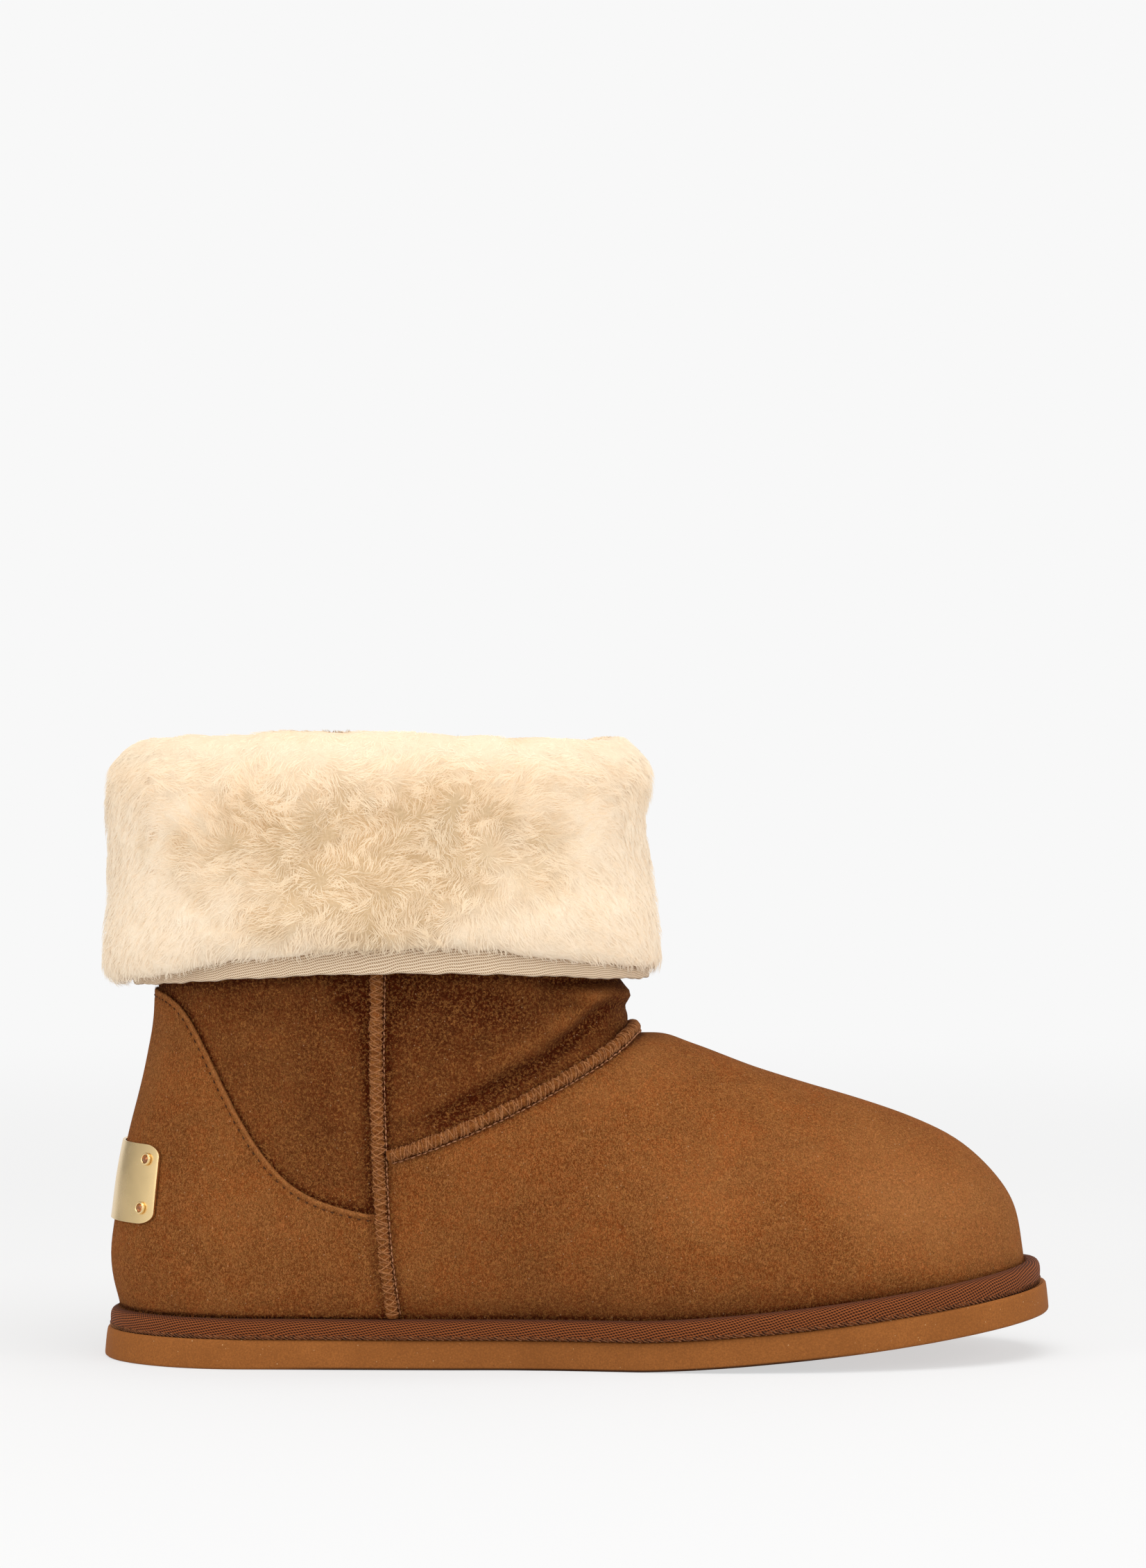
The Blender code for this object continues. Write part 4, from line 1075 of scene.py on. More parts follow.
def make_cuff_wool():
    """Strands over the cuff, from inside its mouth, over the rim and down to the lower edge, in four
    pieces: outer side, front, inner side and back."""
    w = bpy.context.scene.boot_wool
    random = np.random.default_rng(7)
    places = np.linspace(WOOL_FROM, WOOL_TO, 400)
    section = np.stack(splined(CUFF_SECTION, places), -1)[:, :2]
    length_at = arc_length(section)
    around_mm = TURN * CUFF_RADIUS
    first, second = scatter(w.strands, around_mm, length_at[-1], random)
    place = np.interp(second * length_at[-1], length_at, places)
    thinned = 0.55 * smooth_step((wool_pale(cuff_at(first * TURN, place)) - 0.4) / 0.4)
    kept = random.random(len(first)) > thinned
    first, second, place = first[kept], second[kept], place[kept]
    phi, along_mm = first * TURN, second * length_at[-1]
    root, normal, around, along = cuff_frame(phi, place)
    z = root[:, 2] - edge_wave(phi, root[:, 2])
    outside = smooth_step((place - 9.2) / 2.0)
    pale = wool_pale(root)
    ends = np.abs(np.cos(phi))
    combed = comb_over(z) * (0.55 + 0.45 * pale)
    combed = combed + (0.9 - combed) * smooth_step((ends - 0.72) / 0.2)
    wild = (1.15 - 0.55 * smooth_step((ends - 0.6) / 0.3)) * (1 - 0.3 * pale)
    stray = 0.8 * soft_noise(root, 11.0, 31.0) + 0.6 * soft_noise(root, 5.0, 34.0)
    down = combed * outside + wild * stray
    down = np.where(z < 122, np.maximum(down, 0.6), down)
    side = wild * (0.9 * soft_noise(root, 10.0, 32.0) + 0.7 * soft_noise(root, 5.0, 33.0))
    side = side - 1.3 * np.sin(2 * phi) * ends
    pull, tone = lock_pull(first * around_mm, along_mm, 3.1, around_mm)
    length = w.length / MM * random.uniform(0.8, 1.15, len(root))
    length = length * (1 - 0.35 * smooth_step((121 - z) / 6))
    width = w.width / MM * random.uniform(0.75, 1.25, len(root)) * (0.82 + 0.25 * pale)
    crown = smooth_step((root[:, 2] - 168) / 6)
    length = length * (1 - 0.45 * crown) * (0.84 + 0.16 * pale)
    rise = random.uniform(0.22, 0.5, len(root)) + 0.12 * (tone - 0.5)
    rise = rise * (1 - 0.9 * crown) * (1 - 0.4 * pale)
    turn_by = 1.7 * ((tone * 7.31) % 1 - 0.5) * (1.1 - 0.85 * pale)
    cosine, sine = np.cos(turn_by), np.sin(turn_by)
    side, down = side * cosine - down * sine, side * sine + down * cosine
    down = np.where(z < 120, np.maximum(down, 0.5), down)
    lean = np.stack([side, down], -1)
    quarter = np.floor(((phi + math.pi / 4) % TURN) / (math.pi / 2)).astype(int)
    parts = (root, normal, around, along, lean, length, width, pull, tone, rise, pale)
    for number, name in enumerate(("front", "inner_side", "back", "outer_side")):
        here = quarter == number
        add_strands(f"cuff_wool_{name}", *(part[here] for part in parts), random)


def make_lining_wool():
    """Shorter strands on the lining just inside the mouth."""
    w = bpy.context.scene.boot_wool
    random = np.random.default_rng(11)
    first, second = scatter(w.lining_strands, MOUTH_ROUND, MOUTH_DEPTH, random)
    phi, z = first * TURN, SHAFT_TOP - second * MOUTH_DEPTH
    level = level_near(z)
    root = on_suede(phi, level, -WALL + 0.8)
    normal = -last_normal(phi, level)
    up, around = up_and_round(phi, level, normal)
    pull, tone = lock_pull(first * MOUTH_ROUND, second * MOUTH_DEPTH, 4.5, MOUTH_ROUND)
    side, down = (0.8 * soft_noise(root, 15.0, seed) for seed in (41.0, 42.0))
    lean = np.stack([side, down - 0.5], -1)
    length = 0.8 * w.length / MM * random.uniform(0.75, 1.15, len(root))
    width = 1.3 * w.width / MM * random.uniform(0.8, 1.25, len(root))
    rise = random.uniform(0.3, 0.7, len(root))
    add_strands("lining_wool", root, normal, around, up, lean, length, width, pull, tone, rise,
                0.25 + 0 * rise, random)


def tape_map(points, rows, columns, section_mm):
    """Millimetres round the tape by millimetres across it, for the corners of its grid's faces."""
    middle = points[len(points) // 2]
    round_mm = arc_length(np.concatenate([middle, middle[:1]]))
    across_mm = np.concatenate([section_mm, section_mm[-1:] + (section_mm[-1] - section_mm[-2])])
    return np.stack([round_mm[columns], across_mm[rows]], -1).reshape(-1, 2)


def make_binding():
    """The tape round the cuff's lower edge: a flat section with a rounded foot, carried round the
    shaft, its foot and its top each on a wave."""
    section = (  # out, share of the height
        (4.8, 0.5), (4.9, 0.2), (5.1, 0.07), (5.6, 0.01), (6.2, 0.0), (6.7, 0.03), (7.0, 0.12), (7.1, 0.3),
        (7.25, 0.5), (7.4, 0.7), (7.5, 0.88), (7.2, 0.97), (6.4, 1.0), (5.4, 0.98), (4.8, 0.85),
    )
    at = np.arange(0, len(section) - 0.99, 0.34)
    out, share = (column[:, None] for column in splined(section, at))
    phi = circle(370)[None, :]
    low, high = edge_height(phi, BINDING_EDGE), edge_height(phi, WOOL_EDGE) + 2.0
    ripple = 0.16 * np.sin(phi * 23 + np.sin(phi * 5) * 2) + 0.1 * np.sin(phi * 61)
    z = low + (high - low) * share + ripple * (1 - share)
    points = flat_outward(phi, last_row(level_near(z)), out)
    points[..., 2] = z
    faces, rows, columns = grid_faces(*points.shape[:2], True, True)
    across_mm = arc_length(np.c_[out, (high - low).mean() * share])
    t = bpy.context.scene.boot_tape
    yarn = (rgb(t.beige_shade), rgb(t.beige), t.pitch / MM)
    weave = {"cell": 0.66, "slant": -0.13, "back_slant": -0.13, "gap_wide": 0.55, "gap_least": 0.15}
    material = twill_finish("beige_tape", *yarn, **weave)
    rise = np.broadcast_to(share, points.shape[:2])
    # Painted shade at the tape's top, under the overhanging wool, and along its foot
    shade = 0.5 * bell(rise - 1.0, 0.22) + 0.35 * bell(rise, 0.04)
    add_piece("cuff_binding_tape", points, faces, material, ("cuff_binding",),
              uv=tape_map(points, rows, columns, across_mm), values={"shade": shade})


# ---------------------------------------------------------------- sole, tape and insole


def slab(rings, across, bottom=None, top=None):
    """A closed slab: wall rings, and a bottom and a top drawn straight across between the ring's
    points at opposite angles, whose heights the given functions change."""
    rings = np.asarray(rings)
    count = rings.shape[1]
    half = count // 2
    wall, _, _ = grid_faces(len(rings), count, close_columns=True)
    points, quads, tris = [rings.reshape(-1, 3)], [wall], []
    used = rings.shape[0] * count
    last = (len(rings) - 1) * count
    for ring, first, change, flip in ((rings[0], 0, bottom, True), (rings[-1], last, top, False)):
        inner = np.arange(1, half)
        share = np.linspace(0, 1, across + 1)[1:-1]
        a, b = ring[(-inner) % count][:, None], ring[inner][:, None]
        middle = a + (b - a) * share[:, None]
        if change:
            middle[..., 2] += change(middle, share[None, :], np.linalg.norm(b - a, axis=-1))
        index = np.empty((half - 1, across + 1), int)
        index[:, 0], index[:, -1] = first + (-inner) % count, first + inner
        made = middle.shape[0] * middle.shape[1]
        index[:, 1:-1] = used + np.arange(made).reshape(middle.shape[:2])
        used += made
        points.append(middle.reshape(-1, 3))
        block = np.stack([index[:-1, :-1], index[:-1, 1:], index[1:, 1:], index[1:, :-1]], -1)
        block = block.reshape(-1, 4)
        front = np.stack([np.full(across, first), index[0, 1:], index[0, :-1]], -1)
        rear = np.stack([np.full(across, first + half), index[-1, :-1], index[-1, 1:]], -1)
        ends = np.concatenate([front, rear])
        quads.append(block if flip else block[:, ::-1])
        tris.append(ends if flip else ends[:, ::-1])
    return np.concatenate(points), [np.concatenate(quads), np.concatenate(tris)]


def tread(points, share, width):
    """Cross grooves with soft walls, kept inside the outline, and shallow chevrons between them."""
    x = points[..., 0]
    inside = smooth_step((np.minimum(share, 1 - share) * width - GROOVE_MARGIN) / 1.5)
    groove = sum(smooth_step((GROOVE_WIDTH / 2 + 0.4 - np.abs(x - at)) / 0.8) for at in GROOVES)
    wave = 0.5 + 0.5 * np.sin(TURN * (x + 10 * np.abs(share - 0.5)) / 5.0)
    ball = bell(x - 185, 45) + bell(x - 40, 30)
    return inside * (GROOVE_DEPTH * groove + 0.35 * wave * np.clip(ball, 0, 1) * (1 - groove))


def wall_rings(phi, row, section, floor=0.0):
    """An outline's rings, moved out and raised by a section's pairs and bent up at the toe."""
    rings = []
    for out, z in section:
        ring = flat_outward(phi, row, out)
        ring[:, 2] = toe_lift(ring[:, 0]) + floor + z
        rings.append(ring)
    return np.array(rings)


def make_outsole():
    """Wall rings from the rounded foot up to the top edge, a little uneven like cut foam."""
    section = (  # out, z
        (-0.9, 0.0), (-0.45, 0.08), (-0.12, 0.35), (-0.04, 0.6), (0.0, 0.9), (-0.1, 2.4), (-0.28, 4.2),
        (-0.48, 6.0), (-0.66, 7.3), (-0.82, 8.0), (-1.1, 8.34), (-1.7, 8.4),
    )
    rings = wall_rings(circle(560), dict(zip(LAST_COLUMNS, SOLE_OUTLINE)), section)
    wall = rings[:-1]
    uneven = 0.07 * soft_noise(wall, 2.4, 51.0) * np.linspace(1, 0.3, len(wall))[:, None]
    wall[..., :2] += uneven[..., None] * unit(wall[..., :2] - wall[..., :2].mean(1, keepdims=True))
    points, faces = slab(rings, 24, tread)
    x = points[:, 0]
    rise = points[:, 2] - toe_lift(x)
    # Painted shade along the foot, in a band near the floor between heel and toe, which also darkens the
    # middle of the underside, and over the middle of the sole's length
    under = smooth_step((x - 40) / 30) * smooth_step((222 - x) / 30)
    shade = 0.35 * bell(rise, 0.4) + 0.8 * under * smooth_step((0.8 - rise) / 0.3)
    shade = shade + 0.17 * bell(x - 140, 60)
    add_piece("outsole_foam", points, faces, finish_once("foam_rubber", foam_finish), ("outsole",),
              values={"shade": shade})


def make_insole():
    """The wool sock: an inset outline of the last with a tufted top."""
    section = ((0, 0), (0, 3.0), (0.4, 4.8), (1.4, 5.7), (2.5, 6.0))  # inset, z
    section = [(-(WALL + INSOLE_PLAY + inset), z) for inset, z in section]
    rings = wall_rings(circle(240), last_row(0.4), section, SOLE_THICKNESS + GAP)

    def tufts(points, *_):
        return 0.5 * soft_noise(points, 6.0, 61.0) + 0.3 * soft_noise(points, 2.8, 62.0)

    points, faces = slab(rings, 34, None, tufts)
    add_piece("insole_wool", points, faces, finish_once("wool", wool_finish), ("insole",),
              values={"pale": np.full(len(points), 0.3)})


def sole_tape_xyz(phi, thick_share, high_share):
    """The tape's section between two of the last's outlines, deeper and thicker round the toe."""
    base, top = last_row(0.0), last_row(1.0)
    toe = ((1 + np.cos(phi)) / 2) ** 4
    row = {name: base[name] + (top[name] - base[name]) * high_share for name in base}
    thick = TAPE_THICKNESS + TAPE_TOE_PROUD * toe
    points = flat_outward(phi, row, GAP + thick * thick_share)
    height = TAPE_TOP + TAPE_TOE_RISE * toe
    points[..., 2] = toe_lift(points[..., 0]) + SOLE_THICKNESS + 0.08 + (height + GAP) * high_share
    return points


def make_sole_tape():
    """The folded twill tape over the joint of upper and sole."""
    at = np.arange(0, len(TAPE_SECTION) - 0.99, 0.5)
    thick, high = (column[:, None] for column in splined(TAPE_SECTION, at))
    points = sole_tape_xyz(circle(520)[None, :], thick, high)
    faces, rows, columns = grid_faces(*points.shape[:2], True, True)
    across_mm = arc_length(np.c_[thick * TAPE_THICKNESS, high * TAPE_TOP])
    t = bpy.context.scene.boot_tape
    yarn = (rgb(t.brown_shade), rgb(t.brown), 1.12 * t.pitch / MM)
    weave = {"cell": 0.92, "slant": -0.18, "back_slant": 0.5, "gap_wide": 0.95, "gap_least": 0.45}
    material = twill_finish("brown_tape", *yarn, **weave)
    rise = np.broadcast_to(high, points.shape[:2])
    # Painted shade along the tape's lower edge and under the suede at its top edge
    shade = np.clip(0.5 * bell(rise - 0.02, 0.05) + 0.5 * bell(np.minimum(rise - 1.02, 0), 0.12), 0, 1)
    values = {"shade": shade, "fold": bell(rise, 0.21)}
    add_piece("sole_tape_twill", points, faces, material, ("sole_tape",),
              uv=tape_map(points, rows, columns, across_mm), values=values)


def make_tape_stitches():
    """Short slanting stitches that catch the tape's lower edge down to the sole."""
    count, reach = 360, 2.8 * TURN / 640
    at = np.linspace(0, 1, 5)[None, :]
    slant = circle(count)[:, None] + at * reach
    points = sole_tape_xyz(slant, 1.04 - 0.02 * at**2, 0.2 - 0.2 * at)
    points, faces = many_tubes(points, 0.13, 4)
    thread = thread_finish("frayed_thread", (0.06, 0.021, 0.008), (0.30, 0.125, 0.052))
    add_piece("tape_stitches", points, faces, thread)


# ---------------------------------------------------------------- counter, seams


def counter_angle(level, share, side):
    """From the back middle round to just behind the side seam, on one side."""
    height = np.interp(level, np.arange(len(LAST)), [row[1] for row in LAST])
    end = angle_at(side_seam_x(height) - 0.9, level, 1)
    return (math.pi + (end - math.pi) * share) * side


def counter_level(share, side):
    """The level of the counter's upper edge there."""
    angle = lambda level: counter_angle(level, share, side)
    return level_where(angle, lambda x, z: z - counter_edge_z(x))


def counter_columns(count):
    """Signed shares round the heel, from the outer side seam (-1) to the inner one (1)."""
    share = spaced(lambda t: 1 + 1.5 * bell(np.abs(t) - 0.42, 0.2), count, -1.0, 1.0)
    return np.abs(share), np.where(share < 0, -1.0, 1.0)


def counter_edge_frame():
    """The counter's edge, with its tangents, its normals and the directions down from it."""
    share, side = counter_columns(500)
    level = counter_level(share, side)
    phi = counter_angle(level, share, side)
    phi = np.where(phi < 0, phi + TURN, phi)[::-1]
    level = level[::-1]
    curve = on_suede(phi, level, 0.0)
    tangent, normal, across = frames_along(curve, last_normal(phi, level))
    return curve, tangent, normal, across * np.sign((across[:, 2:3].mean() < 0) - 0.5)


def make_counter():
    """The second layer of suede round the heel: rows from the tape up to its edge, close together
    at the edge, where the leather dips under its stitches, swells and is cut off."""
    share, side = counter_columns(280)
    edge = counter_level(share, side)
    low = level_where(lambda level: counter_angle(level, share, side), lambda _, z: z - SEAM_LOW)
    rows = 1 - (1 - np.linspace(0, 1, 56)) ** 1.75
    level = low + (edge - low) * rows[:, None]
    phi = counter_angle(level, share[None], side[None])
    base = on_suede(phi, level, 0.0)
    line = counter_edge_frame()[0]
    distance = np.min(np.linalg.norm(base[:, :, None] - line[None, None, ::2], axis=-1), axis=-1)
    ragged = soft_noise(base, 1.7, 71.0)
    out = COUNTER_PROUD - 0.2 * bell(distance - STITCH_INSET, 0.4)
    out = out + 0.05 * ragged * bell(distance, 1.2) - 0.45 * bell(distance, 0.28)
    face = on_suede(phi, level, out)
    back = on_suede(phi[::-9], level[::-9], GAP)
    points = np.concatenate([face, back])
    rows_count, columns_count = points.shape[:2]
    faces, _, _ = grid_faces(rows_count, columns_count, True)
    ends = np.arange(rows_count) * columns_count
    faces = [faces, ends[None], (ends + columns_count - 1)[None, ::-1]]
    out_of_reach = 9.0
    reach = np.concatenate([distance + 0.3 * ragged, np.full(back.shape[:2], out_of_reach)])
    x, _, z = np.moveaxis(points, -1, 0)
    # Painted shade along the tape, in the dip under the stitches and beside the side seam; the cut edge
    # lighter, partly painted highlight; the patches partly tone, partly painted shade and light
    shade = tape_shade(above_tape(x, z)) + 0.35 * bell(reach - 1.85, 0.3)
    shade = shade + 0.55 * bell(np.abs(x - side_seam_x(z)) - 2.4, 1.5)
    patch = summed_patches(COUNTER_SHADE_LIGHT_AND_TONE_PATCHES, x, z)
    shade = shade + np.maximum(patch, 0)
    rubbed_and_highlight = 0.55 * bell(reach - 0.25, 0.7) + np.maximum(-patch, 0)
    faces = [group[:, ::-1] for group in faces]
    add_piece("heel_counter_suede", points, faces, finish_once("suede", suede_finish), ("heel_counter",),
              values={"shade": np.clip(shade, 0, 1), "rubbed_and_highlight": rubbed_and_highlight})


def make_counter_fray():
    """Short frayed nap along the cut edge of the counter."""
    random = np.random.default_rng(23)
    count = 1100
    curve, tangent, normal, inward = counter_edge_frame()
    length = arc_length(curve)
    at = np.sort(random.uniform(1.0, length[-1] - 1.0, count))
    root = resample_by(curve, length, at)
    normal, inward, tangent = (unit(resample_by(field, length, at)) for field in (normal, inward, tangent))
    outward = -inward
    high, inset = random.uniform(0.5, 1.05, (count, 1)), random.uniform(0.0, 0.7, (count, 1))
    root = root + normal * high - outward * inset
    lean = np.stack([random.normal(0, 0.9, count), random.uniform(0.2, 1.0, count)], -1)
    size, width = random.uniform(0.5, 1.1, count), random.uniform(0.1, 0.2, count)
    rise = random.uniform(0.05, 0.5, count)
    add_strands("counter_fray", root, normal, tangent, outward, lean, size, width, np.zeros((count, 2)),
                rise, rise, rise, random, nap=random.uniform(-0.55, 0.25, count))


def make_counter_stitches():
    """A row of short stitches in the dip below the counter's edge."""
    curve, _, normal, inward = counter_edge_frame()
    line = curve + inward * STITCH_INSET + normal * 1.07
    length = arc_length(line)
    count = int(length[-1] / STITCH_PITCH)
    start = np.linspace(1.5, length[-1] - 3.0, count)[:, None]
    at = start + np.linspace(0, STITCH_LENGTH, 5)[None, :]
    stitches = resample(line, at.ravel()).reshape(count, 5, 3)
    sink = resample(normal, at.ravel()).reshape(count, 5, 3)
    sink = sink * np.array([-0.25, 0.02, 0.08, 0.02, -0.25])[:, None]
    points, faces = many_tubes(stitches + sink, [0.1, 0.17, 0.2, 0.17, 0.1], 5)
    thread = thread_finish("dark_thread", (0.03, 0.012, 0.005), (0.10, 0.036, 0.012))
    add_piece("counter_stitches", points, faces, thread)


def seam_ridge(name, curve, normals, width, height, pitch, crossed, edge_side):
    """A raised seam: a half-round section along the curve, pinched by its stitches, with threads
    whipped over it and a line of edge stitches along one side."""
    length = arc_length(curve)[-1]
    steps = int(length / 0.3)
    s = np.linspace(0, length, steps)
    line = resample(curve, s)
    _, normal, across = frames_along(line, resample_by(normals, arc_length(curve), s))
    pinch = 0.5 + 0.5 * np.cos(TURN * s / pitch)
    wander = 0.12 * np.sin(s * 0.55) + 0.08 * np.sin(s * 1.37 + 1)
    w = (width * (1 - 0.10 * pinch) + wander)[:, None]
    h = (height * (1 - 0.12 * pinch) + 0.5 * wander)[:, None]
    angle = np.linspace(-0.25, math.pi + 0.25, RIDGE_SIDES)
    sides = across[:, None] * (w * np.cos(angle))[..., None]
    sides = sides + normal[:, None] * (RIDGE_LIFT + h * np.sin(angle))[..., None]
    points = line[:, None] + sides
    faces, _, _ = grid_faces(steps, RIDGE_SIDES, close_columns=True)
    end = np.arange(RIDGE_SIDES)[None]
    faces = [group[:, ::-1] for group in (faces, end, (end + (steps - 1) * RIDGE_SIDES)[:, ::-1])]
    # Painted shade at the ridge's feet, more on the edge-stitch side, and between its pinches; the noise is
    # random tone
    low = np.clip(np.abs(np.cos(angle)), 0, 1) ** 8
    shade = 0.75 * low * np.where(np.cos(angle) * edge_side > 0, 1.0, 0.45) + 0.24 * pinch[:, None]
    shade = shade + 0.14 + 0.25 * soft_noise(points, 1.5, 81.0)
    ridge = finish_once("raised_suede", lambda: suede_finish("raised_suede", 0.14))
    add_piece(name + "_ridge", points, faces, ridge, (name,), values={"shade": np.clip(shade, 0, 1)})

    seam = (s, line, normal, across)
    seam_threads(name, seam, w[:, 0], h[:, 0], pitch, crossed)
    seam_edge_stitches(name, seam, edge_side * (width + EDGE_BESIDE))


def seam_threads(name, seam, width, height, pitch, crossed):
    """Layers of threads whipped over a ridge: each a half turn about it, from one foot to the other,
    slanted along the seam by its layer's amount."""
    s, line, normal, across = seam
    length = s[-1]
    layers = ((1.3, 1.0), (2.3, 1.4), (-2.0, 2.2))  # slant, and distance apart in pitches
    if crossed:
        layers = ((3.0, 1.0), (-2.6, 1.15), (1.2, 1.9))
    sweep = np.linspace(0.0, 1.0, THREAD_STEPS)[None, :]
    turn = math.pi * (0.01 + 0.98 * sweep)
    turns = []
    for slant, gap in layers:
        count = int(length / (pitch * gap))
        start = np.linspace(1.4, length - 1.4 - abs(slant), count)[:, None] + max(0, -slant)
        skew = slant + 0.8 * np.sin(start * 3.1 + slant)
        at = np.clip(start + skew * sweep + 0.3 * np.sin(start * 7.3), 0.3, length - 0.3)
        wide, high = np.interp(at, s, width) + 0.04, np.interp(at, s, height) + 0.07
        arc = resample_by(line, s, at) + resample_by(across, s, at) * (wide * np.cos(turn))[..., None]
        lift = (RIDGE_LIFT + high * np.sin(turn))[..., None]
        turns.append(arc + resample_by(normal, s, at) * lift)
    arcs = np.concatenate(turns)
    thick = THREAD_RADIUS * (1 + 0.25 * np.sin(np.arange(len(arcs)) * 2.4))[:, None]
    points, faces = many_tubes(arcs, thick, 4)
    t = bpy.context.scene.boot_seam
    thread = finish_once("seam_thread", lambda: thread_finish("seam_thread", rgb(t.shade), rgb(t.thread)))
    add_piece(name + "_threads", points, faces, thread)


def seam_edge_stitches(name, seam, beside):
    """A row of short stitches that far beside a seam, each sunk at its ends."""
    s, line, normal, across = seam
    length = s[-1]
    start = np.linspace(0.5, length - 2.0, int(length / EDGE_PITCH))[:, None]
    at = start + np.linspace(0, EDGE_LENGTH, 5)[None, :]
    offset = beside + 0.08 * np.sin(at * 1.9)
    rise = RIDGE_LIFT + np.array([-0.15, 0.16, 0.22, 0.16, -0.15])
    dashes = resample_by(line, s, at) + resample_by(across, s, at) * offset[..., None]
    dashes = dashes + resample_by(normal, s, at) * rise[:, None]
    points, faces = many_tubes(dashes, [0.12, 0.2, 0.23, 0.2, 0.12], 5)
    browns = (0.22, 0.08, 0.03), (0.52, 0.245, 0.125)
    thread = finish_once("edge_thread", lambda: thread_finish("edge_thread", *browns))
    add_piece(name + "_edge_stitches", points, faces, thread)


def make_side_seams():
    """The seams up both sides, from the tape to under the cuff."""
    for side, name in ((-1, "side_seam_outer"), (1, "side_seam_inner")):
        z = np.linspace(SEAM_LOW, SIDE_SEAM_TOP, 90)
        phi, level = place_at(side_seam_x(z), z, side, 1.5)
        curve = on_suede(phi, level, 0.0)
        seam_ridge(name, curve, last_normal(phi, level), width=1.85, height=1.6, pitch=1.9,
                   crossed=True, edge_side=-side)


def make_instep_seam():
    """The seam over the instep, from one side seam to the other; it stands up at the throat."""
    start, _ = place_at(INSTEP_X + 0.6, INSTEP_Z + 0.2, 1, 1.0)
    phi = np.linspace(start[0], -start[0], 220)
    level = level_where(phi, lambda x, z: z - instep_height(x))
    throat = np.maximum(np.cos(phi), 0)
    curve = on_suede(phi, level, 0.25 + 0.9 * throat**6)
    seam_ridge("instep_seam", curve, last_normal(phi, level), width=1.75, height=1.8, pitch=1.5,
               crossed=False, edge_side=-1)


# ---------------------------------------------------------------- heel plate and stones


def finish_edges(piece, thickness, bevel):
    """Gives a sheet its thickness outwards and rounds its edges, and leaves the result as its mesh."""
    wall = piece.modifiers.new("wall", "SOLIDIFY")
    wall.thickness, wall.offset = thickness * MM, 1
    edge = piece.modifiers.new("edge", "BEVEL")
    edge.width, edge.segments, edge.limit_method = bevel * MM, 3, "ANGLE"
    bpy.context.view_layer.update()
    graph = bpy.context.evaluated_depsgraph_get()
    done = bpy.data.meshes.new_from_object(piece.evaluated_get(graph), depsgraph=graph)
    piece.modifiers.clear()
    old, piece.data = piece.data, done
    bpy.data.meshes.remove(old)
    piece.data.shade_smooth()


def make_plate():
    """A gilt plate bent round the heel: rows of heights by shares of the way round, each row cut
    short near the top and bottom to round the corners."""
    half = (PLATE_Z[1] - PLATE_Z[0]) / 2
    height = half * np.sin(np.linspace(-1, 1, 33) * math.pi / 2)
    deep = np.maximum(np.abs(height) - (half - PLATE_CORNER), 0)
    inset = PLATE_CORNER - np.sqrt(np.maximum(PLATE_CORNER**2 - deep**2, 0))
    z = height + sum(PLATE_Z) / 2
    x_end = np.interp(z, PLATE_Z, PLATE_X)
    level = level_near(z)
    ends = {side: np.abs(place_at(x_end, z, side, 1.6)[0]) for side in (-1, 1)}
    reach = {side: math.pi - ends[side] for side in ends}
    rows = []
    heel_radius = 41.0
    for way in np.linspace(-1, 1, 75):
        side = 1 if way >= 0 else -1
        cut = 1 - inset / (reach[side] * heel_radius * 0.9)
        phi = math.pi - way * reach[side] * cut
        rows.append((phi, level_where(phi, lambda _, h, z=z: h - z)))
    phi, level = (np.stack(column, 1) for column in zip(*rows))
    points = on_suede(phi, level, PLATE_OUT)
    faces, _, _ = grid_faces(*points.shape[:2])
    gilt = finish_once("gilt", gilt_finish)
    plate = add_piece("heel_plate_gilt", points, faces[:, ::-1], gilt, ("heel_plate",))
    finish_edges(plate, PLATE_THICKNESS, 0.5)


def turned(profile, count, origin, normal, twist=0.0):
    """A profile of radii and heights turned about an axis, its ends drawn to points on it."""
    helper = np.array([0, 0, 1.0]) if abs(normal[2]) < 0.9 else np.array([1.0, 0, 0])
    first = unit(np.cross(helper, normal))
    second = np.cross(normal, first)
    inner = profile[1:-1]
    angle = (circle(count)[None, :] + twist * (np.arange(len(inner)) % 2)[:, None])[..., None]
    radius, high = (np.array(column)[:, None, None] for column in zip(*inner))
    ring = origin + radius * (first * np.cos(angle) + second * np.sin(angle)) + high * normal
    tips = np.stack([origin + profile[0][1] * normal, origin + profile[-1][1] * normal])
    quads, _, _ = grid_faces(len(inner), count, close_columns=True)
    j = np.arange(count)
    a, b = len(inner) * count, len(inner) * count + 1
    last = (len(inner) - 1) * count
    low = np.stack([np.full(count, a), (j + 1) % count, j], -1)
    top = np.stack([np.full(count, b), last + j, last + (j + 1) % count], -1)
    if twist:
        quads = np.concatenate([quads[:, [0, 1, 3]], quads[:, [1, 2, 3]]])
    return np.concatenate([ring.reshape(-1, 3), tips]), [quads, np.concatenate([low, top])]


